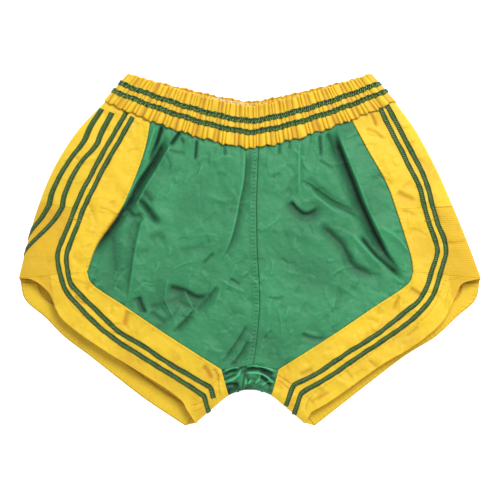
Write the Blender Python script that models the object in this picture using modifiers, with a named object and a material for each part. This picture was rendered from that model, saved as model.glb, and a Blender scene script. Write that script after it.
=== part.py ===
"""Satin boxing shorts, lying flat on their back with the front up.

The shorts lie in the XY plane: +X is the wearer's left, +Y is towards the waist and +Z is up.
The origin is under the middle of the outline, on the surface that the back rests on.

Every piece of cloth is a sheet between the plan of the shorts and one rounding rule: the front
and the back are two level layers that roll into each other over the side folds and the inseams.
A sheet stands off that common surface by its place in the stack (facing, elastic, cloth, casing,
tape), so neighbours keep their clearance wherever the plan is changed.
"""
import bmesh
import bpy
import numpy as np

# Thicknesses and clearances
CLOTH = 0.0010          # satin with its seam allowances
ELASTIC = 0.0012        # woven elastic inside the waistband
FACING = 0.0008         # turned-in hems and waistband lining
TAPE = 0.0007           # braid sewn on the outside
STACK_GAP = 0.0004      # between two layers that lie on each other
TAPE_GAP = 0.0005       # between the cloth and a leg tape, which crosses the folds at a slant
SEAM_GAP = 0.0004       # between two edges that are sewn together
TIP_GAP = 0.0008        # from a leg border's outer end to the fold, where front and back part

# Overall plan
HALF_WIDTH = 0.2945     # middle to the outer tip of a leg opening
HALF_LENGTH = 0.2250    # middle to the lowest hem
WAIST_TOP = 0.2237      # middle to the ends of the waistband's top edge, less the casing's stand
LOFT = 0.0188           # height of the front cloth above the table
SIDE_ROLL = 0.016       # plan width over which the cloth rolls round a side fold
INSEAM_ROLL = 0.010     # the same at the inseams and the crotch

# Waistband
WAIST_HALF = 0.1540     # middle to the end of the band's top edge
BAND_FLARE = 0.0310     # how much further out the band's lower edge ends
BAND_DROP = 0.0350      # how much lower the band's lower edge ends
BAND_DIP_TOP = 0.0420   # how far the middle of the top edge hangs below its ends
BAND_DIP_BOTTOM = 0.0590
BACK_LIFT = 0.0080      # how much higher the back of the band lies in the middle
BAND_OVERLAP = 0.0080   # cloth of the body that is caught under the band
BAND_HEIGHT = 0.0510
ELASTIC_WIDTH = 0.0350

# Legs
TIP_Y = -0.0360                  # outer tip of a leg opening
CORNER_INSET = 0.0865            # tip to the corner where the side border turns into the leg border
CORNER_Y = -0.0280
WAIST_SEAM_X = 0.1300            # where the green panel meets the side panel at the waist
HIP_JOIN = 0.62                  # share of the side border above the join of panel and gusset
HEM_CORNER = (0.0780, 0.0190)    # inner corner of the front hem: out from the middle, up from the end
BACK_HEM_CORNER = (0.0830, 0.0)
INSEAM_FOOT = (0.0690, 0.0040)
INSEAM_HEAD = (0.0280, 0.0390)
SEAM_FOOT = (0.0370, 0.0725)     # inner end of the front panel's leg seam
BACK_SEAM_FOOT = (0.0380, 0.0600)
GUSSET_TOP = 0.0790              # top of the crotch gusset in the middle, up from the lowest hem
BACK_GUSSET_TOP = 0.0670         # the same on the back
ARCH_RISE = 0.0075               # how much the crotch arch rises between the inseams
HEM_FACING = 0.0220              # width of the turned-in hem

# Trim
TAPE_WIDTH = 0.00635
TAPE_PITCH = 0.0145              # between the two tapes of a pair
TAPE_INSET = 0.0310              # from the green seam to the middle of the first tape
INNER_TAPE_INSET = 0.0250        # the same past the inner corner of the leg border
WAIST_TAPE_INSET = 0.0260        # the same where the border is gathered in at the waist
WAIST_TAPE_PITCH = 0.0115
WAIST_TAPE_SPAN = (0.385, 0.655)  # middles of the two waist tapes, as a share of the band's height
FELL_WIDTH = 0.010               # flat-felled allowance along a centre seam

# Heights of the stack above the common surface
FACING_STAND = -(ELASTIC / 2 + STACK_GAP + FACING / 2)
HEM_STAND = -(CLOTH / 2 + STACK_GAP + FACING / 2)
CASING_STAND = ELASTIC / 2 + STACK_GAP + CLOTH / 2
WAIST_TAPE_STAND = CASING_STAND + CLOTH / 2 + STACK_GAP + TAPE / 2
LEG_TAPE_STAND = CLOTH / 2 + TAPE_GAP + TAPE / 2

# Heights of the back cloth above the table: bare cloth, cloth with tape under it, and waistband
BACK_BARE = CLOTH / 2
BACK_TAPED = LEG_TAPE_STAND + TAPE / 2
BACK_BAND = WAIST_TAPE_STAND + TAPE / 2
MIDDLE = (LOFT + BACK_BAND) / 2

FRONT = 1
BACK = -1

GREEN = (0.055, 0.290, 0.140)
GOLD = (0.920, 0.600, 0.045)
GOLD_MATT = (0.860, 0.540, 0.050)
DARK_GREEN = (0.015, 0.085, 0.040)
WHITE = (0.850, 0.840, 0.800)


# --- plan curves ---

def spline(points):
    """A smooth path through the points (Catmull-Rom), finely sampled."""
    knots = np.asarray(points, dtype=float)
    first = 2 * knots[0] - knots[1]
    last = 2 * knots[-1] - knots[-2]
    p = np.vstack([first, knots, last])
    u = np.linspace(0, 1, 13)[:-1, None]
    spans = []
    for a, b, c, d in zip(p[:-3], p[1:-2], p[2:-1], p[3:]):
        spans.append(b + 0.5 * u * (c - a + u * (2 * a - 5 * b + 4 * c - d + u * (3 * (b - c) + d - a))))
    return np.vstack(spans + [knots[-1:]])


def along(path, share):
    """The points of a path at shares of its length."""
    steps = np.linalg.norm(np.diff(path, axis=0), axis=1)
    length = np.concatenate([[0.0], np.cumsum(steps)])
    at = np.clip(share, 0, 1) * length[-1]
    return np.stack([np.interp(at, length, path[:, 0]), np.interp(at, length, path[:, 1])], axis=-1)


def between(start, end, shape):
    """A smooth path from start to end. shape holds points as shares of the span in x and in y."""
    start = np.asarray(start)
    span = np.asarray(end) - start
    return spline([start] + [start + span * np.asarray(s) for s in shape] + [end])


def from_foot(point):
    """A landmark given as its distance out from the middle and up from the lowest hem."""
    return np.array([point[0], -HALF_LENGTH + point[1]])


def band_point(share, height, back=0.0):
    """A point of the waistband. share runs from -1 to 1 across, height from 0 to 1 up the band."""
    lower_y = WAIST_TOP - BAND_DROP - BAND_DIP_BOTTOM * (1 - np.abs(share) ** 1.4)
    upper_y = WAIST_TOP - BAND_DIP_TOP * (1 - np.abs(share) ** 1.3)
    x = share * (WAIST_HALF + BAND_FLARE * (1 - height))
    y = lower_y * (1 - height) + upper_y * height + back * BACK_LIFT * (1 - share ** 2)
    return np.stack(np.broadcast_arrays(x, y), axis=-1)


CAUGHT = BAND_OVERLAP / BAND_HEIGHT      # share of the band that lies over the body's cloth
WAIST_CORNER = band_point(np.array(1.0), CAUGHT)
TIP = np.array([HALF_WIDTH, TIP_Y])
CORNER = np.array([HALF_WIDTH - CORNER_INSET, CORNER_Y])
HEAD = from_foot(INSEAM_HEAD)
FOOT = from_foot(INSEAM_FOOT)
ARCH = np.array([0.0, HEAD[1] + ARCH_RISE])
GUSSET_HEAD = {FRONT: from_foot((0.0, GUSSET_TOP)), BACK: from_foot((0.0, BACK_GUSSET_TOP))}
GUSSET_SIDE = {FRONT: from_foot(SEAM_FOOT), BACK: from_foot(BACK_SEAM_FOOT)}


class Side:
    """The plan of one half of the shorts, drawn on +X and mirrored for the wearer's right."""

    def __init__(self, sign, fold, seam, hem, back_hem, back_seam, back_waist):
        self.sign = sign
        waist_seam = band_point(np.array(WAIST_SEAM_X / (WAIST_HALF + BAND_FLARE)), CAUGHT)
        back_waist_seam = band_point(np.array(back_waist), CAUGHT, 1.0)
        back_corner = CORNER + np.array([0.007, -0.018])
        fold_path = between(band_point(np.array(1.0), 0.0), TIP, fold)
        side_edge = np.vstack([WAIST_CORNER, fold_path])
        self.seams = {
            FRONT: [between(waist_seam, CORNER, seam),
                    between(CORNER, from_foot(SEAM_FOOT), [(0.05, 0.14), (0.30, 0.37), (0.60, 0.65)]),
                    np.array([from_foot(SEAM_FOOT), HEAD])],
            BACK: [between(back_waist_seam, back_corner, back_seam),
                   between(back_corner, from_foot(BACK_SEAM_FOOT), [(0.09, 0.16), (0.33, 0.39), (0.60, 0.66)]),
                   np.array([from_foot(BACK_SEAM_FOOT), HEAD])]}
        self.edges = {
            FRONT: [side_edge, between(TIP, from_foot(HEM_CORNER), hem),
                    np.array([from_foot(HEM_CORNER), FOOT])],
            BACK: [side_edge, between(TIP, from_foot(BACK_HEM_CORNER), back_hem),
                   np.array([from_foot(BACK_HEM_CORNER), FOOT])]}
        self.fold = np.vstack([band_point(np.array(1.0), 1.0), fold_path])

    def walk(self, paths, t, power):
        """Points at t, which runs 0-1 down the side, 1-2 along the leg and 2-3 down the inseam."""
        share = t - np.floor(np.minimum(t, 2.9999))
        share = np.where((t > 1) & (t < 2), share ** power, share)
        t = t[..., None]
        return np.where(t <= 1, along(paths[0], np.where(t[..., 0] <= 1, t[..., 0], 1)),
                        np.where(t < 2, along(paths[1], share),
                                 along(paths[2], np.maximum(t[..., 0] - 2, 0))))

    def seam(self, layer, t):
        return self.walk(self.seams[layer], t, 2)

    def edge(self, layer, t):
        return self.walk(self.edges[layer], t, 1)


LEFT = Side(1, fold=[(0.242, 0.165), (0.484, 0.385), (0.685, 0.606), (0.868, 0.827)],
            seam=[(0.30, 0.23), (0.58, 0.43), (0.75, 0.62), (0.96, 0.89)],
            hem=[(0.113, 0.040), (0.16, 0.152), (0.24, 0.335), (0.404, 0.510),
                 (0.58, 0.64), (0.871, 0.903)],
            back_hem=[(0.025, 0.145), (0.139, 0.263), (0.272, 0.401), (0.466, 0.537), (0.787, 0.813)],
            back_seam=[(0.45, 0.30), (0.80, 0.65)], back_waist=0.80)
RIGHT = Side(-1, fold=[(0.320, 0.165), (0.603, 0.385), (0.785, 0.606), (0.913, 0.827)],
             seam=[(0.12, 0.18), (0.28, 0.36), (0.55, 0.62), (0.87, 0.83)],
             hem=[(0.085, 0.012), (0.178, 0.105), (0.224, 0.235), (0.284, 0.335),
                  (0.483, 0.520), (0.908, 0.861)],
             back_hem=[(0.030, 0.145), (0.149, 0.263), (0.272, 0.401), (0.433, 0.537), (0.749, 0.813)],
             back_seam=[(0.60, 0.10), (1.20, 0.26), (1.57, 0.48), (1.75, 0.68), (1.45, 0.86)],
             back_waist=0.860)
SIDES = {"left": LEFT, "right": RIGHT}

INSEAM = np.array([FOOT, HEAD, ARCH + (0.015, -0.002), ARCH, ARCH - (0.015, 0.002),
                   HEAD * (-1, 1), FOOT * (-1, 1)])


# --- the common surface ---

def nearest(points, path):
    """Distance of each point to a fold, and the unit vector from the fold into the cloth.

    The cloth lies on the right of the path, which gives the vector on the fold itself.
    """
    best = np.full(points.shape[:-1], np.inf)
    away = np.zeros(points.shape)
    for a, b in zip(path[:-1], path[1:]):
        run = b - a
        share = np.clip(((points - a) @ run) / (run @ run), 0, 1)
        offset = points - (a + share[..., None] * run)
        distance = np.linalg.norm(offset, axis=-1)
        inward = offset + 1e-7 * np.array([run[1], -run[0]]) / np.hypot(*run)
        closer = distance < best
        best = np.where(closer, distance, best)
        away = np.where(closer[..., None], inward / np.linalg.norm(inward, axis=-1)[..., None], away)
    return best, away


def ease(share):
    share = np.clip(share, 0, 1)
    return share * share * (3 - 2 * share)


def common_surface(plan, layer, taped=1.0):
    """Points of the middle of the body's cloth above the plan, and the directions out of it.

    layer holds 1 on the front and -1 on the back. taped is 1 where the back cloth is lifted by
    the tapes under it and 0 where it lies bare on the table.
    """
    layer = np.broadcast_to(layer, plan.shape[:-1])
    half_width = WAIST_HALF + BAND_FLARE
    band_edge = WAIST_TOP - BAND_DROP - BAND_DIP_BOTTOM * (
        1 - np.clip(np.abs(plan[..., 0]) / half_width, 0, 1) ** 1.4)
    near_band = 1 - ease((band_edge - plan[..., 1]) / 0.045)
    back = BACK_BARE + np.maximum((BACK_TAPED - BACK_BARE) * taped, (BACK_BAND - BACK_BARE) * near_band)
    half = np.where(layer > 0, LOFT - MIDDLE, MIDDLE - back)
    roll = np.ones(plan.shape[:-1])
    lean = np.zeros(plan.shape)
    folds = [(LEFT.fold, SIDE_ROLL), (RIGHT.fold[::-1] * (-1, 1), SIDE_ROLL), (INSEAM, INSEAM_ROLL)]
    for path, reach in folds:
        distance, away = nearest(plan, path)
        share = np.clip(distance / reach, 0, 1)
        roll = roll * np.sqrt(1 - (1 - share) ** 2)
        lean = lean - away * ((1 - share) / reach)[..., None]
    upright = layer * roll / half
    normal = np.concatenate([lean, upright[..., None]], axis=-1)
    flat = (np.abs(lean).sum(axis=-1) < 1e-9)[..., None]
    normal = np.where(flat, np.stack([0 * layer, 0 * layer, layer], axis=-1), normal)
    normal = normal / np.linalg.norm(normal, axis=-1)[..., None]
    points = np.concatenate([plan, (MIDDLE + layer * half * roll)[..., None]], axis=-1)
    return points, normal


def surface(plan, layer, stand=0.0, taped=1.0):
    """Points of a sheet above the plan, stand metres outside the middle of the body's cloth."""
    points, normal = common_surface(plan, layer, taped)
    return points + normal * stand


# --- grids ---

def inset(start, end, gap_start, gap_end):
    """Both ends of each row, moved towards each other by the gaps."""
    run = end - start
    run = run / np.maximum(np.linalg.norm(run, axis=-1), 1e-9)[..., None]
    return start + run * gap_start, end - run * gap_end


def pull_in(row, next_row, gap):
    """An end row of a grid, moved towards its neighbour by the gap."""
    run = next_row - row
    return row + run * gap / np.linalg.norm(run, axis=-1)[:, None]


def rows(start, end, shares):
    """A grid of plan points on straight rows from start to end."""
    return start[:, None] + (end - start)[:, None] * shares[None, :, None]


def roll_shares(length, steps, arc_steps):
    """Shares along a row that ends on a fold, closer together where the cloth rolls over."""
    level = np.linspace(0, 1 - SIDE_ROLL / length, steps + 1)[:-1]
    turn = np.linspace(np.pi / 2, 0, arc_steps + 1)
    return np.concatenate([level, 1 - SIDE_ROLL * (1 - np.cos(turn)) / length])


def side_wrap(side, t, gap=SEAM_GAP / 2, steps=3, arc_steps=6):
    """Plan points and layers of rows from the front seam over the fold to the back seam."""
    halves = []
    for layer in (FRONT, BACK):
        start, end = inset(side.seam(layer, t), side.edge(layer, t), gap, 0)
        run = end - start
        length = np.linalg.norm(run, axis=-1)
        shares = np.stack([roll_shares(max(n, SIDE_ROLL * 1.02), steps, arc_steps) for n in length])
        halves.append(start[:, None] + run[:, None] * np.clip(shares, 0, 1)[..., None])
    plan = np.concatenate([halves[0], halves[1][:, -2::-1]], axis=1)
    layers = np.concatenate([np.full(halves[0].shape[1], FRONT), np.full(halves[1].shape[1] - 1, BACK)])
    return plan, np.broadcast_to(layers, plan.shape[:-1])


def place(side, plan):
    """The plan mirrored to its own side of the shorts."""
    return plan * (side.sign, 1)


def travel(points):
    """Distance travelled along each row of a grid of points."""
    steps = np.linalg.norm(np.diff(points, axis=1), axis=-1)
    return np.concatenate([np.zeros((len(points), 1)), np.cumsum(steps, axis=1)], axis=1)


def strip_on_rows(plan, layers, middles, width, stand):
    """A narrow strip of a sheet, its middle so many metres along each row of a finer grid."""
    points, normals = common_surface(plan, layers)
    distance = travel(points)
    across = np.linspace(-0.5, 0.5, TAPE_STEPS + 1)
    strip = np.zeros((len(plan), len(across), 3))
    for i, gone in enumerate(distance):
        at = middles[i] + across * width[i]
        for axis in range(3):
            strip[i, :, axis] = np.interp(at, gone, points[i, :, axis] + stand * normals[i, :, axis])
    return strip


# --- Blender objects ---

def clear_scene():
    for obj in list(bpy.data.objects):
        bpy.data.objects.remove(obj, do_unlink=True)
    for collection in list(bpy.data.collections):
        bpy.data.collections.remove(collection)


def material(name, colour, roughness, metallic=0.0):
    found = bpy.data.materials.get(name)
    if found:
        return found
    made = bpy.data.materials.new(name)
    made.use_nodes = True
    shader = made.node_tree.nodes["Principled BSDF"]
    shader.inputs["Base Color"].default_value = (*colour, 1)
    shader.inputs["Roughness"].default_value = roughness
    shader.inputs["Metallic"].default_value = metallic
    made.diffuse_color = (*colour, 1)
    return made


def sheet(collection, name, grid, thickness, finish, closed=False):
    """A sheet of cloth: a grid laid on the points, given its thickness by Solidify.

    A closed sheet is a ring, whose first and last columns are the same points.
    """
    down, across = grid.shape[:2]
    bm = bmesh.new()
    bmesh.ops.create_grid(bm, x_segments=across - 1, y_segments=down - 1, size=1)
    bm.verts.ensure_lookup_table()
    for vert, point in zip(bm.verts, grid.reshape(-1, 3)):
        vert.co = point
    if closed:
        bmesh.ops.remove_doubles(bm, verts=bm.verts, dist=0.00002)
    mesh = bpy.data.meshes.new(name)
    bm.to_mesh(mesh)
    bm.free()
    mesh.materials.append(finish)
    obj = bpy.data.objects.new(name, mesh)
    collection.objects.link(obj)
    shell = obj.modifiers.new("thickness", "SOLIDIFY")
    shell.thickness = thickness
    shell.offset = 0
    shell.use_even_offset = True
    mesh.shade_smooth()
    mesh.set_sharp_from_angle(angle=0.6)
    return obj


# --- pieces ---

TAPE_STEPS = 2
T_UPPER = np.linspace(0, HIP_JOIN, 8)
T_LOWER = np.linspace(HIP_JOIN, 1, 8)
T_LEG = 1 + np.linspace(0, 1, 11)
T_INSEAM = np.array([2, 2.3, 2.55, 2.75, 2.88, 2.96])


def body_panel(collection, name, side, layer, finish):
    """A green panel: rows from the centre seam to the border seam, waist at the top."""
    t = np.concatenate([T_UPPER, T_LOWER[1:], T_LEG[1:]])
    seam = side.seam(layer, t)
    back = 1.0 if layer == BACK else 0.0
    top = band_point(np.array(0.0), CAUGHT, back)
    bottom = GUSSET_HEAD[layer]
    fall = (t / 2) ** 0.9
    centre = top + (bottom - top) * fall[:, None]
    start, end = inset(centre, seam, SEAM_GAP / 2, SEAM_GAP / 2)
    shares = np.array([0, 0.25, 0.5, 0.75, 0.9, 1.0])
    plan = rows(start, end, shares)
    across = plan[0, :, 0] / (WAIST_HALF + BAND_FLARE * (1 - CAUGHT))
    sag = band_point(across, CAUGHT, back)[:, 1] - plan[0, :, 1]
    plan[..., 1] += sag * (1 - ease(t / 0.6))[:, None]
    plan[-1] = pull_in(plan[-1], plan[-2], SEAM_GAP)
    plan = place(side, plan)
    taped = np.maximum(ease((shares[None, :] - 0.7) / 0.25), ease((t[:, None] - 1.7) / 0.25))
    grid = surface(plan, layer, taped=np.broadcast_to(taped, plan.shape[:-1]))
    return sheet(collection, name, grid, CLOTH, finish)


def side_piece(collection, name, side, t, finish):
    """A gold piece that wraps the side fold. Its lower edge keeps the seam gap to the next one."""
    plan, layers = side_wrap(side, t)
    plan[-1] = pull_in(plan[-1], plan[-2], SEAM_GAP)
    return sheet(collection, name, surface(place(side, plan), layers), CLOTH, finish)


def leg_border(collection, name, side, layer, finish):
    """The gold border of a leg opening, from the side's tip round the inner corner to the inseam."""
    t = np.concatenate([T_LEG, T_INSEAM[1:]])
    start, end = inset(side.seam(layer, t), side.edge(layer, t), SEAM_GAP / 2, 0)
    end[0] += (start[0] - end[0]) * TIP_GAP / np.linalg.norm(start[0] - end[0])
    plan = rows(start, end, np.array([0, 0.3, 0.6, 0.8, 0.88, 0.95, 1.0]))
    plan[0] = pull_in(plan[0], plan[1], TIP_GAP / 2)
    return sheet(collection, name, surface(place(side, plan), layer), CLOTH, finish)


def hem_facing(collection, name, side, layer, finish):
    """The hem turned in behind the leg border."""
    t = T_LEG[1:]
    start, end = inset(side.seam(layer, t), side.edge(layer, t), 0, 0.001)
    length = np.linalg.norm(end - start, axis=-1)
    start = end - (end - start) * (HEM_FACING / length)[:, None]
    plan = rows(start, end, np.array([0, 0.5, 1.0]))
    return sheet(collection, name, surface(place(side, plan), layer, HEM_STAND), FACING, finish)


def leg_tape(collection, name, side, layer, order, finish):
    """One braid of a pair, from the waistband down the side border and along the leg border."""
    fine = 15 if layer == FRONT else 76      # the back tapes cross the side folds
    t = np.concatenate([np.linspace(0.07, 1, fine), 1 + np.linspace(0, 1, 14)[1:], T_INSEAM[1:-1]])
    wrap, layers = side_wrap(side, t[t <= 1], gap=0, steps=20, arc_steps=12)
    if layer == BACK:
        wrap = wrap[:, ::-1]
        layers = layers[:, ::-1]
    start, end = side.seam(layer, t[t > 1]), side.edge(layer, t[t > 1])
    leg = rows(start, end, np.linspace(0, 1, wrap.shape[1]))
    plan = np.concatenate([wrap, leg])
    layers = np.concatenate([layers, np.full(leg.shape[:-1], layer)])
    path = side.seam(layer, t)
    heading = np.gradient(path, axis=0)
    row = side.edge(layer, t) - path
    turn = np.abs(heading[:, 0] * row[:, 1] - heading[:, 1] * row[:, 0])
    skew = np.clip(turn / (np.linalg.norm(heading, axis=1) * np.linalg.norm(row, axis=1)), 0.85, 1)
    first = np.interp(t, [0, 0.3, 1.8, 2], [WAIST_TAPE_INSET, TAPE_INSET, TAPE_INSET, INNER_TAPE_INSET])
    pitch = np.interp(t, [0, 0.3], [WAIST_TAPE_PITCH, TAPE_PITCH])
    middles = (first + order * pitch) / skew
    strip = strip_on_rows(place(side, plan), layers, middles, TAPE_WIDTH / skew, LEG_TAPE_STAND)
    return sheet(collection, name, strip, TAPE, finish)


def band_ring(collection, name, lower, upper, stand, thickness, finish, rings=1):
    """A ring of the waistband between two shares of its height."""
    half = WAIST_HALF + BAND_FLARE / 2
    turn = np.linspace(0, np.pi / 2, 7)
    level = np.linspace(-1 + SIDE_ROLL / half, 1 - SIDE_ROLL / half, 15)
    right_end = -1 + SIDE_ROLL * (1 - np.cos(turn)) / half
    front = np.concatenate([right_end[:-1], level, -right_end[::-1][1:]])
    share = np.concatenate([front, front[::-1][1:]])
    layers = np.concatenate([np.full(len(front), FRONT), np.full(len(front) - 1, BACK)])
    heights = np.linspace(lower, upper, rings + 1)
    plan = band_point(share[None, :], heights[:, None], back=(layers < 0)[None, :] * 1.0)
    grid = surface(plan, np.broadcast_to(layers, plan.shape[:-1]), stand)
    return sheet(collection, name, grid, thickness, finish, closed=True)


def centre_seam(collection, name, layer, finish):
    """The flat-felled allowance that holds the two green panels together, on the inside."""
    back = 1.0 if layer == BACK else 0.0
    top = band_point(np.array(0.0), 0.0, back)[1] - 0.002
    bottom = GUSSET_HEAD[layer][1] + 0.002
    y = np.linspace(top, bottom, 14)
    x = np.array([-FELL_WIDTH / 2, FELL_WIDTH / 2])
    plan = np.stack(np.broadcast_arrays(x[None, :], y[:, None]), axis=-1)
    taped = np.broadcast_to(ease((0.06 - (y - bottom)) / 0.05)[:, None], plan.shape[:-1])
    return sheet(collection, name, surface(plan, layer, HEM_STAND, taped), FACING, finish)


def crotch_gusset(collection, name, finish):
    """The gusset between the legs, folded over the crotch arch from the front to the back."""
    across = np.linspace(-1, 1, 9)
    arch = np.stack([across * (HEAD[0] - 2 * SEAM_GAP), HEAD[1] + ARCH_RISE * (1 - across ** 2)], axis=-1)
    turn = np.linspace(np.pi / 2, 0, 5)
    halves = []
    for layer in (FRONT, BACK):
        head, foot = GUSSET_HEAD[layer], GUSSET_SIDE[layer] - (2 * SEAM_GAP, 0)
        x = across * foot[0]
        y = head[1] + (foot[1] - head[1]) * np.abs(across) - SEAM_GAP
        edge = np.stack([x, y], axis=-1)
        length = np.linalg.norm(edge - arch, axis=-1).mean()
        shares = np.concatenate([np.linspace(0, 1 - INSEAM_ROLL / length, 4)[:-1],
                                 1 - INSEAM_ROLL * (1 - np.cos(turn)) / length])
        halves.append(rows(edge, arch, shares))
    plan = np.concatenate([halves[0], halves[1][:, -2::-1]], axis=1)
    layers = np.concatenate([np.full(halves[0].shape[1], FRONT), np.full(halves[1].shape[1] - 1, BACK)])
    return sheet(collection, name, surface(plan, np.broadcast_to(layers, plan.shape[:-1])), CLOTH, finish)


def build():
    clear_scene()
    shorts = bpy.data.collections.new("boxing_shorts")
    bpy.context.scene.collection.children.link(shorts)
    green = material("green_satin", GREEN, 0.42)
    gold = material("gold_satin", GOLD, 0.42)
    matt = material("gold_ribbed_satin", GOLD_MATT, 0.70)
    braid = material("green_braid", DARK_GREEN, 0.75)
    white = material("white_elastic", WHITE, 0.80)

    for word, side in SIDES.items():
        body_panel(shorts, f"front_panel_{word}", side, FRONT, green)
        body_panel(shorts, f"back_panel_{word}", side, BACK, green)
        side_piece(shorts, f"side_panel_{word}", side, T_UPPER, gold)
        side_piece(shorts, f"side_gusset_{word}", side, T_LOWER, matt)
        for place_word, layer in (("front", FRONT), ("back", BACK)):
            leg_border(shorts, f"leg_border_{place_word}_{word}", side, layer, gold)
            hem_facing(shorts, f"hem_facing_{place_word}_{word}", side, layer, gold)
            for order, tape_word in enumerate(("inner", "outer")):
                leg_tape(shorts, f"leg_tape_{tape_word}_{place_word}_{word}", side, layer, order, braid)

    crotch_gusset(shorts, "crotch_gusset", green)
    centre_seam(shorts, "centre_front_seam", FRONT, green)
    centre_seam(shorts, "centre_back_seam", BACK, green)

    elastic_low = CAUGHT + 0.001 / BAND_HEIGHT
    elastic_high = elastic_low + ELASTIC_WIDTH / BAND_HEIGHT
    band_ring(shorts, "waistband_casing", 0, 1, CASING_STAND, CLOTH, gold, rings=2)
    band_ring(shorts, "waist_elastic", elastic_low, elastic_high, 0, ELASTIC, white)
    band_ring(shorts, "waistband_facing", 0.04, 0.97, FACING_STAND, FACING, gold)
    half_tape = TAPE_WIDTH / BAND_HEIGHT / 2
    for word, middle in zip(("lower", "upper"), WAIST_TAPE_SPAN):
        band_ring(shorts, f"waist_tape_{word}", middle - half_tape, middle + half_tape,
                  WAIST_TAPE_STAND, TAPE, braid)


build()
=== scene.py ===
"""Satin boxing shorts laid flat, front up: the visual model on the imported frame.

The plan of the shorts is the frame's own: +X is the wearer's left, +Y the waist, +Z up. Every
sheet of cloth is a function of two parameters, down a seam and across from it, that gives points
of the plan, lifted onto two level layers that roll into each other over the side folds.
"""

import bpy
import numpy as np
from bpy.props import FloatProperty, FloatVectorProperty, IntProperty, PointerProperty
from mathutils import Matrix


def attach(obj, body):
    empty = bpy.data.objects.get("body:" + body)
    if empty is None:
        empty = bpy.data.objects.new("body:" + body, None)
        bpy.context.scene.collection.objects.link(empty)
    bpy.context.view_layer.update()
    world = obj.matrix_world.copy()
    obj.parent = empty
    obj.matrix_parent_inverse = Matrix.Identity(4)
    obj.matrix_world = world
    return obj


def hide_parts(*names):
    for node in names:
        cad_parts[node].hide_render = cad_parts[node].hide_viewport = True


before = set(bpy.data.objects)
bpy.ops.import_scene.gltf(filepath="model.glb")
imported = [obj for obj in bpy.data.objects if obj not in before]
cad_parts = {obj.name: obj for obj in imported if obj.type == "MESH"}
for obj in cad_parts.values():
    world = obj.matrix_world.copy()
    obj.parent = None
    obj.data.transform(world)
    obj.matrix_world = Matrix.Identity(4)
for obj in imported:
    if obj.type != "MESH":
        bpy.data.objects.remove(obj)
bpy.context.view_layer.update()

bl_info = {
    "name": "Boxing Shorts",
    "version": (1, 0, 0),
    "blender": (4, 5, 0),
    "location": "3D View > Sidebar > Shorts",
    "description": "Makes satin boxing shorts, lying flat with the front up",
    "category": "Add Mesh",
}

MM = 0.001
FRONT, BACK = 1, -1
NAMES = {FRONT: "front", BACK: "back"}

# Plan of the shorts, as the CAD part has it
CLOTH, ELASTIC, FACING, TAPE = 0.0010, 0.0012, 0.0008, 0.0007
STACK_GAP, TAPE_GAP = 0.0004, 0.0005
HALF_WIDTH, HALF_LENGTH, LOFT = 0.2945, 0.2250, 0.0188
SIDE_ROLL, INSEAM_ROLL = 0.016, 0.010
WAIST_TOP, WAIST_HALF = 0.2237, 0.1540
BAND_HEIGHT, BAND_OVERLAP = 0.0510, 0.0080
BAND_FLARE, BAND_DROP = 0.0310, 0.0350
BAND_DIP_TOP, BAND_DIP_BOTTOM, BACK_LIFT = 0.0420, 0.0590, 0.0080
TIP_Y, CORNER_Y, CORNER_INSET = -0.0360, -0.0280, 0.0865
WAIST_SEAM_X, SIDE_LENGTH = 0.1300, 0.30
HIP_JOIN = 0.62
HEM_CORNER, BACK_HEM_CORNER = (0.0780, 0.0190), (0.0830, 0.0)
INSEAM_FOOT, INSEAM_HEAD = (0.0690, 0.0040), (0.0280, 0.0390)
SEAM_FOOT, BACK_SEAM_FOOT = (0.0370, 0.0725), (0.0380, 0.0600)
GUSSET_TOP, BACK_GUSSET_TOP, ARCH_RISE = 0.0790, 0.0670, 0.0075
HEM_FACING, FELL_WIDTH = 0.0220, 0.010
TAPE_PITCH, TAPE_INSET, INNER_TAPE_INSET = 0.0145, 0.0310, 0.0250
WAIST_TAPE_PITCH, WAIST_TAPE_INSET = 0.0115, 0.0260
WAIST_TAPE_SPAN = (0.385, 0.655)

FACING_STAND = -(ELASTIC / 2 + STACK_GAP + FACING / 2)
HEM_STAND = -(CLOTH / 2 + STACK_GAP + FACING / 2)
CASING_STAND = ELASTIC / 2 + STACK_GAP + CLOTH / 2
LEG_TAPE_STAND = CLOTH / 2 + TAPE_GAP + TAPE / 2
BACK_BARE = CLOTH / 2
BACK_TAPED = LEG_TAPE_STAND + TAPE / 2
BACK_BAND = CASING_STAND + CLOTH / 2 + STACK_GAP + TAPE
MIDDLE = (LOFT + BACK_BAND) / 2

# How the real cloth sits: seams lap, and a braid is sewn down tight
SEAM_LAP = 0.0010        # gold cloth over the green at a seam
BRAID_STAND = 0.0008     # middle of a leg braid above the middle of the cloth
WAIST_BRAID_STAND = 0.0009
BAND_ROOM = 0.0016       # how far the body's cloth is pressed down under the waistband
HEM_STITCH = HEM_FACING - 1.5 * MM   # the hem's stitch line, in from the edge
PUCKER = 0.0062          # length of one pucker along a stitched edge
BAND_COLUMNS = 1280      # points round the outside of the waistband
WAIST_KNOBS = 162        # knots of a braid round the waist
SENSOR = 36.0            # width of the camera's sensor in millimetres
FLOOR_REACH, FLOOR_HEIGHT = 4, -0.0006
LAMP_SIZE, LAMP_PLACE = 1.0, (0.60, 1.15, 1.95)


# --- settings a user would change ---

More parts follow.
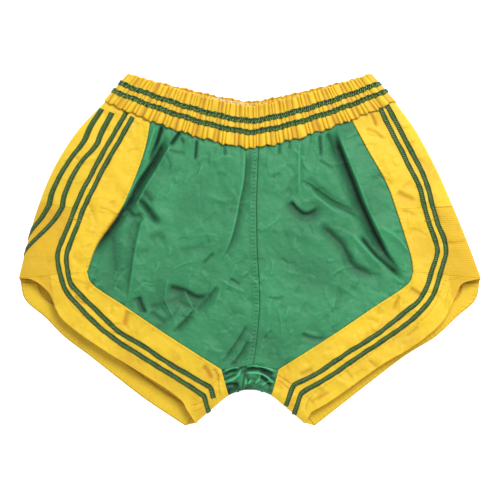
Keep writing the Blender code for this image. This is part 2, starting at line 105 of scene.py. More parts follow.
class SHORTS_PG_sizes(bpy.types.PropertyGroup):
    """Sizes of the cloth, the trim and the folds."""
    cloth: FloatProperty(
        name="Cloth", description="Thickness of one layer of satin",
        default=0.0005, unit="LENGTH", precision=4)
    braid: FloatProperty(
        name="Braid", description="Thickness of the braid sewn on the outside",
        default=0.0008, unit="LENGTH", precision=4)
    braid_width: FloatProperty(
        name="Braid Width", description="Width of a braid",
        default=0.0059, unit="LENGTH", precision=4)
    pleats: IntProperty(
        name="Pleats", description="Pleats in the gathered waistband, all the way round",
        default=122, min=20)
    pleat_depth: FloatProperty(
        name="Pleat Depth", description="Depth of the pleats at the waistband's loose edges",
        default=0.0036, unit="LENGTH", precision=4)
    fold_share: FloatProperty(
        name="Folds", description="Height of the front's folds, as a multiple of their listed heights",
        default=1.35, min=0.0, max=2.0, subtype="FACTOR")
    wrinkle: FloatProperty(
        name="Wrinkles", description="Height of the small wrinkles over the front",
        default=0.0009, unit="LENGTH", precision=4)
    stitch: FloatProperty(
        name="Stitch", description="Length of one stitch of the topstitching",
        default=0.0026, unit="LENGTH", precision=4)


class SHORTS_PG_colours(bpy.types.PropertyGroup):
    """Colours of the cloth, the braid and the thread."""
    green: FloatVectorProperty(
        name="Green", description="Green satin where it lies open",
        default=(0.041, 0.260, 0.108), subtype="COLOR", min=0, max=1)
    # Painted shade: the colour the green satin turns to deep in its folds, standing in for their shade
    green_fold_shade: FloatVectorProperty(
        name="Green in Folds", description="Green satin deep in a fold",
        default=(0.004, 0.032, 0.014), subtype="COLOR", min=0, max=1)
    gold: FloatVectorProperty(
        name="Gold", description="Gold satin where it lies open",
        default=(0.865, 0.578, 0.026), subtype="COLOR", min=0, max=1)
    # Painted shade: the colour the gold satin turns to in its folds, pleats and shaded parts
    gold_fold_shade: FloatVectorProperty(
        name="Gold in Folds", description="Gold satin deep in a pleat",
        default=(0.430, 0.140, 0.005), subtype="COLOR", min=0, max=1)
    ribbed: FloatVectorProperty(
        name="Ribbed Gold", description="The matt ribbed side gussets",
        default=(0.840, 0.520, 0.032), subtype="COLOR", min=0, max=1)
    braid: FloatVectorProperty(
        name="Braid", description="Ground of the braid",
        default=(0.014, 0.050, 0.013), subtype="COLOR", min=0, max=1)
    braid_fleck: FloatVectorProperty(
        name="Braid Fleck", description="Shiny crossings of the braid",
        default=(0.115, 0.250, 0.050), subtype="COLOR", min=0, max=1)
    elastic: FloatVectorProperty(
        name="Elastic", description="Woven elastic and its loose threads",
        default=(0.780, 0.760, 0.680), subtype="COLOR", min=0, max=1)
    green_thread: FloatVectorProperty(
        name="Green Thread", description="Thread of the green seams",
        default=(0.014, 0.090, 0.040), subtype="COLOR", min=0, max=1)
    gold_thread: FloatVectorProperty(
        name="Gold Thread", description="Thread of the gold seams",
        default=(0.500, 0.260, 0.020), subtype="COLOR", min=0, max=1)


class SHORTS_PG_stage(bpy.types.PropertyGroup):
    """The floor, the lights and the camera."""
    floor: FloatVectorProperty(
        name="Floor", description="Colour of the floor",
        default=(0.93, 0.93, 0.93), subtype="COLOR", min=0, max=1)
    fill: FloatProperty(
        name="Fill", description="Strength of the light from all round", default=0.55, min=0)
    key: FloatProperty(
        name="Key", description="Power of the large soft lamp", default=41.0, min=0, unit="POWER")
    lens: FloatProperty(
        name="Lens", description="Focal length of the camera in millimetres", default=100.0, min=10)
    frame_width: FloatProperty(
        name="View Width", description="Width of the view over the shorts",
        default=0.635, unit="LENGTH")


def sizes():
    """The sizes in the sidebar."""
    return bpy.context.scene.shorts_sizes


# --- plan curves ---

def spline(points, steps=12):
    """A smooth path through the points (Catmull-Rom), finely sampled."""
    knots = np.asarray(points, dtype=float)
    first = 2 * knots[0] - knots[1]
    last = 2 * knots[-1] - knots[-2]
    p = np.vstack([first, knots, last])
    u = np.linspace(0, 1, steps + 1)[:-1, None]
    spans = []
    for a, b, c, d in zip(p[:-3], p[1:-2], p[2:-1], p[3:]):
        cubic = 2 * a - 5 * b + 4 * c - d + u * (3 * (b - c) + d - a)
        spans.append(b + 0.5 * u * (c - a + u * cubic))
    return np.vstack(spans + [knots[-1:]])


def unit(vectors):
    """The vectors brought to length 1."""
    return vectors / np.linalg.norm(vectors, axis=-1)[..., None]


def travelled(path):
    """Distance gone along a path at each of its points."""
    return np.concatenate([[0.0], np.cumsum(np.linalg.norm(np.diff(path, axis=0), axis=1))])


def along(path, share):
    """The points of a path at shares of its length."""
    length = travelled(path)
    at = np.clip(share, 0, 1) * length[-1]
    return np.stack([np.interp(at, length, path[:, 0]), np.interp(at, length, path[:, 1])], axis=-1)


def between(start, end, shape):
    """A smooth path from start to end. shape holds points as shares of the span in x and in y."""
    start = np.asarray(start)
    span = np.asarray(end) - start
    return spline([start] + [start + span * np.asarray(s) for s in shape] + [end])


def from_foot(point):
    """A landmark given as its distance out from the middle and up from the lowest hem."""
    return np.array([point[0], -HALF_LENGTH + point[1]])


def band_edge(x):
    """Height in the plan of the waistband's lower edge at x."""
    share = np.clip(np.abs(x) / (WAIST_HALF + BAND_FLARE), 0, 1)
    return WAIST_TOP - BAND_DROP - BAND_DIP_BOTTOM * (1 - share ** 1.4)


def band_point(share, height, back=0.0):
    """A point of the waistband. share runs from -1 to 1 across, height from 0 to 1 up the band."""
    lower_y = WAIST_TOP - BAND_DROP - BAND_DIP_BOTTOM * (1 - np.abs(share) ** 1.4)
    upper_y = WAIST_TOP - BAND_DIP_TOP * (1 - np.abs(share) ** 1.3)
    x = share * (WAIST_HALF + BAND_FLARE * (1 - height))
    y = lower_y * (1 - height) + upper_y * height + back * BACK_LIFT * (1 - share ** 2)
    return np.stack(np.broadcast_arrays(x, y), axis=-1)


CAUGHT = BAND_OVERLAP / BAND_HEIGHT
WAIST_CORNER = band_point(np.array(1.0), CAUGHT)
TIP = np.array([HALF_WIDTH, TIP_Y])
CORNER = np.array([HALF_WIDTH - CORNER_INSET, CORNER_Y])
HEAD = from_foot(INSEAM_HEAD)
FOOT = from_foot(INSEAM_FOOT)
ARCH = np.array([0.0, HEAD[1] + ARCH_RISE])
GUSSET_HEAD = {FRONT: from_foot((0.0, GUSSET_TOP)), BACK: from_foot((0.0, BACK_GUSSET_TOP))}
GUSSET_SIDE = {FRONT: from_foot(SEAM_FOOT), BACK: from_foot(BACK_SEAM_FOOT)}


class Side:
    """The plan of one half of the shorts, drawn on +X and mirrored for the wearer's right."""

    def __init__(self, sign, fold, seam, hem, back_hem, back_seam, back_waist):
        self.sign = sign
        waist_seam = band_point(np.array(WAIST_SEAM_X / (WAIST_HALF + BAND_FLARE)), CAUGHT)
        back_waist_seam = band_point(np.array(back_waist), CAUGHT, 1.0)
        back_corner = CORNER + np.array([0.007, -0.018])
        fold_path = between(band_point(np.array(1.0), 0.0), TIP, fold)
        side_edge = np.vstack([WAIST_CORNER, fold_path])
        leg = [(0.05, 0.14), (0.30, 0.37), (0.60, 0.65)]
        back_leg = [(0.09, 0.16), (0.33, 0.39), (0.60, 0.66)]
        self.seams = {
            FRONT: [between(waist_seam, CORNER, seam),
                    between(CORNER, from_foot(SEAM_FOOT), leg),
                    np.array([from_foot(SEAM_FOOT), HEAD])],
            BACK: [between(back_waist_seam, back_corner, back_seam),
                   between(back_corner, from_foot(BACK_SEAM_FOOT), back_leg),
                   np.array([from_foot(BACK_SEAM_FOOT), HEAD])]}
        self.edges = {
            FRONT: [side_edge, between(TIP, from_foot(HEM_CORNER), hem),
                    np.array([from_foot(HEM_CORNER), FOOT])],
            BACK: [side_edge, between(TIP, from_foot(BACK_HEM_CORNER), back_hem),
                   np.array([from_foot(BACK_HEM_CORNER), FOOT])]}
        self.fold = np.vstack([band_point(np.array(1.0), 1.0), fold_path])

    def walk(self, paths, t, power):
        """Points at t, which runs 0-1 down the side, 1-2 along the leg and 2-3 down the inseam."""
        share = t - np.floor(np.minimum(t, 2.9999))
        share = np.where((t > 1) & (t < 2), share ** power, share)
        t = t[..., None]
        return np.where(t <= 1, along(paths[0], np.where(t[..., 0] <= 1, t[..., 0], 1)),
                        np.where(t < 2, along(paths[1], share),
                                 along(paths[2], np.maximum(t[..., 0] - 2, 0))))

    def seam(self, layer, t):
        """Points of the seam between green and gold."""
        return self.walk(self.seams[layer], t, 2)

    def edge(self, layer, t):
        """Points of the outline: the side fold, then the hem."""
        return self.walk(self.edges[layer], t, 1)


LEFT = Side(1, fold=[(0.242, 0.165), (0.484, 0.385), (0.685, 0.606), (0.868, 0.827)],
            seam=[(0.30, 0.23), (0.58, 0.43), (0.75, 0.62), (0.96, 0.89)],
            hem=[(0.113, 0.040), (0.16, 0.152), (0.24, 0.335), (0.404, 0.510),
                 (0.58, 0.64), (0.871, 0.903)],
            back_hem=[(0.025, 0.145), (0.139, 0.263), (0.272, 0.401), (0.466, 0.537), (0.787, 0.813)],
            back_seam=[(0.45, 0.30), (0.80, 0.65)], back_waist=0.80)
RIGHT = Side(-1, fold=[(0.320, 0.165), (0.603, 0.385), (0.785, 0.606), (0.913, 0.827)],
             seam=[(0.07, 0.18), (0.21, 0.36), (0.49, 0.62), (0.84, 0.83)],
             hem=[(0.085, 0.012), (0.178, 0.105), (0.224, 0.235), (0.284, 0.335),
                  (0.483, 0.520), (0.908, 0.861)],
             back_hem=[(0.030, 0.145), (0.149, 0.263), (0.272, 0.401), (0.433, 0.537), (0.749, 0.813)],
             back_seam=[(0.60, 0.10), (1.20, 0.26), (1.57, 0.48), (1.75, 0.68), (1.45, 0.86)],
             back_waist=0.860)
SIDES = {"left": LEFT, "right": RIGHT}

INSEAM = np.array([FOOT, HEAD, ARCH + (0.015, -0.002), ARCH, ARCH - (0.015, 0.002),
                   HEAD * (-1, 1), FOOT * (-1, 1)])

# Middles of the braids on the front, in millimetres of the plan, from the waist to the inseam
BRAID_PATHS = {
    ("left", "inner"): [(163, 184), (181, 148), (193, 126), (204, 102), (215, 81), (220, 62),
                        (226, 39), (233, 18), (238, 2), (237, -8), (232, -24), (225, -45),
                        (215, -63), (199, -77), (168, -102), (125, -130), (84, -157), (60, -169),
                        (55, -174), (50, -186), (45, -201)],
    ("left", "outer"): [(172, 187), (189, 156), (205, 126), (218, 100), (226, 79), (232, 56),
                        (239, 32), (247, 12), (249, -3), (246, -16), (240, -36), (230, -61),
                        (205, -89), (171, -113), (136, -137), (100, -161), (70, -179),
                        (64, -185), (60, -197), (55, -212)],
    ("right", "inner"): [(-149, 169), (-172, 128), (-187, 102), (-200, 76), (-211, 53),
                        (-217, 36), (-225, 17), (-231, 2), (-233, -11), (-231, -28), (-226, -44),
                        (-210, -62), (-185, -86), (-163, -106), (-137, -121), (-99, -146),
                        (-58, -170), (-51, -174), (-48, -180), (-45, -191)],
    ("right", "outer"): [(-157, 175), (-184, 128), (-201, 97), (-214, 72), (-225, 45),
                        (-233, 25), (-242, 4), (-244, -13), (-240, -32), (-233, -53),
                        (-213, -76), (-187, -101), (-162, -120), (-137, -135), (-104, -156),
                        (-64, -181), (-58, -186), (-55, -197), (-51, -210)],
}

# Short threads tacked across the two braids of each hip, in millimetres of the plan
TACKS = [[(221, 37), (231, 38), (241, 42)], [(-231, 41), (-222, 39), (-213, 37)]]


# --- folds of the front ---

class Field:
    """A height over the plan, kept on a raster and read between its points (bilinear)."""

    def __init__(self, step=0.0006):
        self.step = step
        self.low = np.array([-0.312, -0.240])
        x = np.arange(self.low[0], 0.312, step)
        y = np.arange(self.low[1], 0.240, step)
        self.plan = np.stack(np.meshgrid(x, y), axis=-1)
        self.value = np.zeros(self.plan.shape[:2])

    def window(self, path, reach):
        """The part of the raster within reach of a path."""
        low = np.clip(((path.min(axis=0) - reach - self.low) / self.step).astype(int), 0, None)
        high = ((path.max(axis=0) + reach - self.low) / self.step).astype(int) + 2
        return slice(low[1], high[1]), slice(low[0], high[0])

    def read(self, plan):
        """The height at points of the plan."""
        place = (plan - self.low) / self.step
        size = np.array(self.value.shape[::-1])
        place = np.clip(place, 0, size - 1.001)
        whole = place.astype(int)
        part = place - whole
        i, j = whole[..., 1], whole[..., 0]
        u, v = part[..., 0], part[..., 1]
        lower = self.value[i, j] * (1 - u) + self.value[i, j + 1] * u
        upper = self.value[i + 1, j] * (1 - u) + self.value[i + 1, j + 1] * u
        return lower * (1 - v) + upper * v


def ease(share):
    """A smooth step from 0 to 1: 3 share ** 2 - 2 share ** 3."""
    share = np.clip(share, 0, 1)
    return share * share * (3 - 2 * share)


def bell(distance, width):
    """1 at no distance, falling away on both sides as exp(-(distance / width) ** 2)."""
    return np.exp(-(distance / width) ** 2)


def along_and_off(points, path):
    """Share of a path's length beside each point, and the signed distance off the path.

    The distance is positive on the left of the way along the path.
    """
    steps = np.linalg.norm(np.diff(path, axis=0), axis=1)
    start = travelled(path)
    best = np.full(points.shape[:-1], np.inf)
    share = np.zeros(points.shape[:-1])
    side = np.ones(points.shape[:-1])
    for k, (a, b) in enumerate(zip(path[:-1], path[1:])):
        run = b - a
        at = np.clip(((points - a) @ run) / (run @ run), 0, 1)
        offset = points - (a + at[..., None] * run)
        distance = np.hypot(offset[..., 0], offset[..., 1])
        closer = distance < best
        best = np.where(closer, distance, best)
        share = np.where(closer, (start[k] + at * steps[k]) / start[-1], share)
        turn = run[0] * offset[..., 1] - run[1] * offset[..., 0]
        side = np.where(closer, np.where(turn < 0, -1, 1), side)
    return share, best * side


# Each fold: its path in millimetres, running downwards or to the right; its height; how wide it
# falls away on its left or lower side and on its right or upper side; how deep a painted shade it
# gets (0 to 1).
GREEN_FOLDS = [
    ([(-7, 131), (-7, 110), (-9, 86), (-14, 62), (-19, 35), (-27, 8), (-36, -8), (-46, -20)],
     2.2, 26, 1.3, 0),
    ([(-5, 131), (-5, 110), (-7, 86), (-12, 62), (-17, 35), (-25, 8), (-34, -9), (-44, -21)],
     -1.2, 1.0, 6, 0.55),
    ([(-112, 163), (-114, 152), (-119, 136), (-125, 120), (-129, 106)], -4.0, 1.6, 3.0, 0.95),
    ([(-120, 158), (-124, 144), (-130, 126), (-137, 108)], 1.8, 5, 2.2, 0),
    ([(-104, 148), (-114, 128), (-124, 110), (-139, 88), (-152, 63), (-170, 38), (-187, 14), (-197, -6),
      (-203, -26)], -5.5, 3.0, 8.0, 1.0),
    ([(-116, 140), (-131, 108), (-146, 86), (-158, 62), (-176, 37)], 1.6, 5, 2.6, 0),
    ([(-96, 140), (-106, 124), (-114, 110), (-122, 96), (-132, 80), (-142, 62), (-150, 48)],
     2.6, 2.6, 9, 0),
    ([(-88, 152), (-96, 141), (-104, 130)], -3.2, 1.6, 3.0, 0.9),
    ([(-104, 128), (-93, 124), (-80, 124)], -1.3, 3.0, 1.4, 0.35),
    ([(-108, 120), (-101, 109), (-104, 98)], -0.9, 1.6, 1.4, 0.30),
    ([(-144, 65), (-135, 57), (-127, 46), (-121, 38), (-113, 30)], -4.2, 3.0, 4.6, 0.75),
    ([(-134, 68), (-126, 56), (-116, 46), (-110, 34)], 1.4, 2.4, 9, 0),
    ([(-158, 53), (-147, 44), (-134, 45)], -3.4, 6.0, 2.4, 0.55),
    ([(-131, 45), (-138, 32), (-141, 18), (-145, 0), (-149, -29), (-155, -70)], 2.0, 1.5, 24, 0),
    ([(-134, 45), (-142, 32), (-145, 18), (-149, 0), (-153, -29), (-159, -66)], -1.3, 11, 1.5, 0.42),
    ([(-176, 26), (-172, -5), (-166, -44)], -2.2, 13, 13, 0.46),
    ([(-146, 40), (-152, 20), (-156, 0)], -1.2, 6, 6, 0.30),
    ([(-138, 76), (-128, 66), (-124, 58)], -2.0, 5, 5, 0.55),
    ([(-60, 106), (-66, 96), (-71, 88)], 0.8, 1.6, 1.6, 0),
    ([(62.6, 139), (62.6, 100), (63.3, 62)], 1.1, 4.0, 1.2, 0),
    ([(64.8, 137), (64.8, 100), (65.3, 66)], -0.6, 1.0, 3.0, 0.25),
    ([(106, 156), (111, 138), (118, 119), (126, 100), (133, 81), (140, 63), (148, 45), (156, 27), (165, 10),
      (173, -5), (184, -20), (198, -40)], -7.0, 12.0, 2.6, 1.0),
    ([(112, 150), (117, 137), (124, 118), (132, 99), (140, 80), (147, 61), (155, 43), (164, 25), (173, 8),
      (183, -7)], 2.8, 2.4, 15, 0),
    ([(64, 89), (78, 81), (90, 71), (105, 60), (120, 52), (136, 44), (150, 33)], -3.2, 2.6, 7.0, 0.52),
    ([(62, 93), (78, 85), (92, 75), (107, 65), (124, 57), (138, 50)], 1.2, 2.0, 8, 0),
    ([(78, 71), (92, 62), (104, 52), (118, 45)], 1.3, 7, 2.4, 0),
    ([(50, 64), (60, 52), (70, 46), (80, 49), (90, 58)], -3.6, 9.5, 2.2, 0.80),
    ([(86, 36), (103, 21), (116, 8), (124, -6), (132, -20), (150, -29), (172, -38)], -3.8, 9.5, 4.5, 0.66),
    ([(138, 20), (159, -5), (173, -18), (184, -28), (197, -41)], -3.2, 2.2, 3.6, 0.85),
    ([(128, 22), (146, 2), (163, -16), (176, -28)], 1.4, 5, 3, 0),
    ([(166, 30), (187, 17), (198, 3), (208, -9)], 1.5, 5, 1.6, 0),
    ([(-106, -46), (-86, -51), (-66, -60), (-48, -55)], -3.4, 12, 3.2, 0.72),
    ([(-92, -62), (-80, -70), (-62, -72)], -1.6, 7, 5, 0.55),
    ([(-132, -72), (-104, -66), (-70, -50)], -0.8, 11, 11, 0.46),
    ([(-122, -100), (-100, -84), (-84, -66)], -0.6, 8, 8, 0.36),
    ([(-110, -58), (-104, -72), (-96, -88)], 1.2, 2.0, 5.0, 0),
    ([(-84, -50), (-78, -64), (-70, -78)], 1.1, 5.0, 1.6, 0),
    ([(56, 44), (72, 38), (86, 46)], -0.5, 9, 9, 0.40),
    ([(40, 20), (62, 14), (84, 18)], -0.5, 9, 9, 0.20),
    ([(96, 26), (112, 12), (124, 0)], -0.5, 10, 10, 0.34),
    ([(-128, 108), (-120, 100), (-112, 88)], -0.5, 8, 8, 0.24),
    ([(-40, -45), (-54, -62), (-74, -84)], -2.0, 2.2, 7.0, 0.50),
    ([(-70, -76), (-86, -94), (-100, -107)], -2.2, 2.2, 6.0, 0.60),
    ([(-142, -58), (-138, -70), (-131, -84)], -2.6, 7.0, 3.0, 0.75),
    ([(-126, -78), (-116, -87), (-106, -94)], -1.8, 5, 4, 0.45),
    ([(-46, -3), (-54, -11), (-62, -19)], -1.2, 1.4, 2.6, 0.45),
    ([(-92, -2), (-70, 2), (-48, 10)], -0.9, 7, 4, 0.20),
    ([(-128, 12), (-118, 17), (-106, 13)], -1.6, 8, 5, 0.30),
    ([(-26, -36), (-16, -42), (-12, -46)], -1.3, 2.0, 1.6, 0.45),
    ([(-3, -93), (-18, -118), (-38, -146)], -1.4, 1.0, 6.0, 0.55),
    ([(-3, -114), (-12, -132), (-29, -151)], -1.6, 1.0, 5.5, 0.60),
    ([(64, -106), (82, -112), (100, -112)], -1.8, 5, 2.2, 0.50),
    ([(106, -60), (107, -78), (109, -96)], 0.8, 1.5, 9, 0),
    ([(22, -60), (34, -62), (46, -59)], -0.8, 2.2, 1.6, 0.25),
    ([(28, -102), (22, -108), (16, -116)], -1.0, 2.0, 2.0, 0.40),
    ([(-68, 142), (-69, 128), (-70.5, 111)], -2.0, 1.1, 2.4, 0.75),
    ([(-33, 136), (-32.5, 117)], -1.5, 1.0, 2.4, 0.45),
    ([(37, 139), (36.5, 119)], -1.4, 1.0, 2.2, 0.45),
    ([(50, 140), (49.5, 126)], -1.1, 1.0, 1.8, 0.35),
    ([(87.5, 148), (89, 127), (89, 115)], -1.8, 1.2, 2.4, 0.55),
    ([(97, 150), (104, 136), (112, 119)], -2.2, 2.2, 3.4, 0.55),
    ([(86, 114), (97, 108), (110, 101)], -1.2, 1.6, 1.8, 0.30),
    ([(22, 136), (26, 126)], -1.0, 1.2, 1.6, 0.30),
    ([(-88, 143), (-84, 134)], -1.6, 1.6, 2.0, 0.55),
]
GOLD_FOLDS = [
    ([(152, 176), (157, 165), (161, 154)], -1.0, 1.0, 2.6, 0.85),
    ([(146, 154), (159, 149), (171, 139)], -1.1, 1.6, 2.4, 0.40),
    ([(186, 74), (198, 68), (212, 62)], -1.6, 5.5, 3.0, 0.45),
    ([(192, 50), (202, 47), (212, 42)], -1.0, 4.0, 2.4, 0.25),
    ([(190, -58), (186, -66), (181, -80)], -1.4, 1.6, 3.4, 0.45),
    ([(203, -48), (212, -54), (222, -60)], -1.6, 5.0, 2.4, 0.50),
    ([(-156, -76), (-158, -86), (-161, -100)], -1.5, 2.0, 4.0, 0.60),
    ([(-60, -146), (-54, -154), (-47, -166)], -1.5, 4.0, 3.4, 0.65),
    ([(62, -158), (70, -156), (82, -150)], -1.3, 4.0, 2.6, 0.45),
    ([(-160, 150), (-166, 138), (-170, 124)], -0.9, 1.6, 2.8, 0.30),
    ([(34, -158), (46, -166), (57, -175)], -0.9, 0.9, 0.9, 0.65),
    ([(33, -164), (44, -172), (53, -180)], -0.7, 0.8, 0.8, 0.55),
    ([(-47, -150), (-41, -158), (-39, -170)], -1.8, 3.4, 1.4, 0.60),
    ([(-40, -160), (-38, -172), (-36, -186)], 1.2, 1.4, 2.6, 0),
    ([(-77, -197), (-66, -196), (-57, -191)], -0.6, 0.8, 0.8, 0.50),
    ([(-72, -205), (-64, -203), (-58, -199)], -0.5, 0.7, 0.7, 0.40),
    ([(76, -196), (92, -186), (104, -180)], -0.9, 1.2, 3.0, 0.45),
    ([(70, -206), (74, -192), (84, -180)], -0.6, 0.8, 0.8, 0.45),
    ([(-224, -58), (-216, -66), (-206, -70)], -1.1, 1.4, 2.4, 0.45),
    ([(-232, -40), (-222, -54), (-214, -62)], 0.9, 1.6, 3.0, 0),
    ([(214, -96), (206, -104), (196, -112)], -1.1, 1.6, 3.2, 0.45),
    ([(150, -140), (157, -146), (160, -152)], -0.9, 1.2, 2.2, 0.40),
    ([(120, -152), (127, -160), (131, -166)], -0.9, 1.2, 2.2, 0.40),
    ([(160, 96), (172, 90), (182, 80)], -0.8, 1.4, 2.2, 0.30),
    ([(-206, 60), (-199, 44), (-195, 30)], -0.9, 1.4, 2.6, 0.30),
    ([(-176, 118), (-184, 104), (-186, 92)], -0.8, 1.2, 2.2, 0.30),
    ([(-184, 92), (-190, 80), (-193, 66)], 1.0, 6, 3, 0),
    ([(168, 120), (176, 104), (184, 84)], 1.1, 4, 5, 0),
    ([(-200, 30), (-208, 10), (-212, -8)], 1.0, 6, 6, 0),
    ([(-196, -36), (-202, -44), (-212, -54)], -1.2, 4, 3, 0.35),
    ([(232, 60), (238, 44), (246, 28)], -0.8, 3, 3, 0.20),
]
GUSSET_FOLDS = [
    ([(-9, -147), (4, -147), (16, -148.5), (34, -155)], 2.2, 1.0, 1.4, 0),
    ([(-7, -151.5), (6, -151), (17, -152.5), (31, -159)], -2.4, 2.0, 1.4, 1.0),
    ([(-6, -156), (10, -156.5), (21, -161), (31, -171)], 2.1, 1.8, 1.0, 0),
    ([(12, -160), (20, -166), (27, -174)], -2.2, 2.2, 2.4, 0.98),
    ([(-33, -154), (-22, -149.5), (-11, -149)], 2.0, 1.4, 1.0, 0),
    ([(-34, -159), (-24, -154), (-15, -153)], -2.4, 1.6, 1.6, 0.98),
    ([(-38, -170), (-23, -165), (-15, -159), (-11, -150)], 2.2, 1.6, 1.2, 0),
    ([(-36, -166), (-24, -161), (-17, -157)], -1.8, 1.2, 1.2, 0.78),
    ([(-32, -172), (-22, -170), (-13, -174)], -2.2, 2.2, 1.8, 1.0),
    ([(-6, -171), (-4, -164)], 1.5, 0.8, 0.8, 0),
    ([(-2, -171), (1, -165)], 1.5, 0.8, 0.8, 0),
    ([(-4, -168), (-1.5, -163)], -1.5, 0.9, 0.9, 0.78),
    ([(6, -170), (12, -164), (13, -158)], 1.4, 1.6, 1.2, 0),
    ([(14, -172), (25, -167), (34, -170)], 1.7, 1.4, 1.4, 0),
]


def add_folds(folds, height, shade, light):
    """Adds folds to the fields: each is its height times exp(-(d / w) ** 2) at the distance d from
    its path, with one width w on each side, and it fades out towards both ends of the path.

    The painted shade is deep on the narrow side and soft on the wide one. A thin line along the crest of
    a raised fold, exp(-(d / 1 mm) ** 2), gets a painted highlight.
    """
    fade_in, fade_out, reach = 0.14, 0.28, 2.6
    for points, rise, left, right, dark in folds:
        path = spline(np.array(points) * MM, steps=5)
        part = height.window(path, reach * max(left, right) * MM)
        share, off = along_and_off(height.plan[part], path)
        width = np.where(off > 0, right, left) * MM
        fade = ease(share / fade_in) * ease((1 - share) / fade_out)
        height.value[part] += rise * MM * bell(off, width) * fade
        # Painted shade of the fold: deep and narrow on one side, soft and wide on the other
        core = bell(off, np.minimum(width, 2.4 * MM))
        soft = bell(off, np.minimum(1.25 * width, 13 * MM))
        depth = dark * (0.35 * core + 0.65 * soft) * fade
        shade.value[part] = np.maximum(shade.value[part], depth)
        if rise > 0:
            # Painted highlight along the crest of a raised fold
            crest = bell(off, 1.0 * MM) * fade
            light.value[part] = np.maximum(light.value[part], min(0.22 * rise + 0.10, 0.6) * crest)


# Rolling noises: seed, number of waves, shortest and longest wave in metres
WAVES = {
    "rolling": (11, 14, 0.055, 0.120),
    "wrinkles": (23, 40, 0.016, 0.045),
    "crinkles": (31, 40, 0.006, 0.013),
    "back": (47, 40, 0.018, 0.060),
    "fine back": (51, 40, 0.007, 0.016),
    "seam": (61, 24, 0.006, 0.014),
    "gusset": (66, 22, 0.016, 0.042),
    "fine gusset": (67, 18, 0.007, 0.014),
    "band": (91, 26, 0.005, 0.015),
    "band shade": (93, 20, 0.006, 0.02),
}


def ripple(plan, name):
    """Rolling noise from -1 to 1 or so: a sum of sine waves in all directions, long ones higher."""
    seed, count, shortest, longest = WAVES[name]
    draw = np.random.default_rng(seed)
    total = np.zeros(plan.shape[:-1])
    weight = 0.0
    for _ in range(count):
        length = shortest * (longest / shortest) ** draw.random()
        turn = draw.random() * 2 * np.pi
        bend = draw.random(2) * 2 * np.pi
        way = plan[..., 0] * np.cos(turn) + plan[..., 1] * np.sin(turn)
        cross = plan[..., 1] * np.cos(turn) - plan[..., 0] * np.sin(turn)
        size = length ** 0.8
        snake = 1.4 * np.sin(cross / length * 2.2 + bend[1])
        total += size * np.sin(2 * np.pi * way / length + bend[0] + snake)
        weight += size * size
    return total / np.sqrt(weight / 2) / 2.2


def small_creases(seed, count, longest):
    """Short creases scattered over the front, nearly straight, each in the form of a fold: shallow
    steps, narrow on one side and wide on the other, and no longer than longest millimetres."""
    draw = np.random.default_rng(seed)
    made = []
    for _ in range(count):
        middle = draw.uniform((-265, -195), (265, 165))
        turn = draw.normal(0.9, 0.9)
        half = longest * (0.25 + 0.75 * draw.random()) / 2
        way = np.array([np.cos(turn), np.sin(turn)])
        bow = np.array([-way[1], way[0]]) * half * draw.uniform(-0.3, 0.3)
        wide = 2.5 + 6 * draw.random()
        narrow = 0.9 + 0.9 * draw.random()
        left, right = (wide, narrow) if draw.random() < 0.5 else (narrow, wide)
        rise = draw.choice([-1, 1]) * (0.35 + 0.65 * draw.random())
        # Painted shade in a sunken crease
        dark = 0.22 * draw.random() if rise < 0 else 0.0
        made.append(([middle - way * half, middle + bow, middle + way * half], rise, left, right, dark))
    return made


def gathers(plan):
    """Small furrows that run down from the waistband: |sin| ** 0.7 across, every 12.5 mm or so, dying
    out below it as exp(-distance / reach) with an uneven reach."""
    x = plan[..., 0]
    below = band_edge(x) - plan[..., 1]
    wander = 0.0021 * np.sin(x / 0.019 + 1) + 0.0014 * np.sin(x / 0.0078)
    across = x + wander + below * (0.10 * np.sin(x / 0.047 + 0.6) + x * 1.1)
    pleat = np.abs(np.sin(across * np.pi / 0.0125)) ** 0.7 - 0.6
    reach = 0.015 + 0.006 * np.sin(x / 0.0137 + 2) + 0.005 * np.sin(x / 0.031)
    return 1.5 * MM * pleat * np.exp(-np.maximum(below, 0) / reach)


def front_fields():
    """Height of the front's folds, and the painted shade on its colour: 0 to 1, deeper in a fold, and less
    than 0 for a painted highlight on a crest. Gathers, broad rolling and two scales of wrinkles lie over
    the listed folds."""
    height, shade, light = Field(), Field(), Field()
    add_folds(GREEN_FOLDS + GOLD_FOLDS, height, shade, light)
    creases = small_creases(seed=5, count=230, longest=44) + small_creases(seed=6, count=300, longest=22)
    add_folds(creases, height, shade, light)
    plan = height.plan
    settings = sizes()
    height.value *= settings.fold_share
    gather = gathers(plan)
    # Painted shade in the furrows of the gathers
    shade.value = np.maximum(shade.value, np.clip(-gather / (1.3 * MM), 0, 1) * 0.55)
    height.value += gather
    broad = ripple(plan, "rolling")
    height.value += 1.1 * MM * broad
    height.value += 0.75 * settings.wrinkle * ripple(plan, "wrinkles")
    height.value += 0.20 * settings.wrinkle * ripple(plan, "crinkles")
    # Painted shade in the hollows of the broad rolling, less the painted highlights on crests
    shade.value = np.maximum(shade.value, np.clip(-broad, 0, 1) * 0.20) - light.value
    return height, shade


def back_field():
    """Height of the back's wrinkles, all of them inwards, because the back lies on the table."""
    height = Field(0.0012)
    wave = ripple(height.plan, "back") + 0.35 * ripple(height.plan, "fine back")
    height.value = -0.7 * MM * np.clip(0.5 + 0.6 * wave, 0, None)
    return height


FIELDS = {}


def fields():
    """The fold fields, made once."""
    if not FIELDS:
        FIELDS["front"], FIELDS["shade"] = front_fields()
        FIELDS["back"] = back_field()
        FIELDS["gusset"], FIELDS["gusset_shade"], light = Field(), Field(), Field()
        add_folds(GUSSET_FOLDS, FIELDS["gusset"], FIELDS["gusset_shade"], light)
        # Painted highlights on the crests of the gusset's folds
        FIELDS["gusset_shade"].value -= 1.6 * light.value
    return FIELDS


# --- the common surface ---

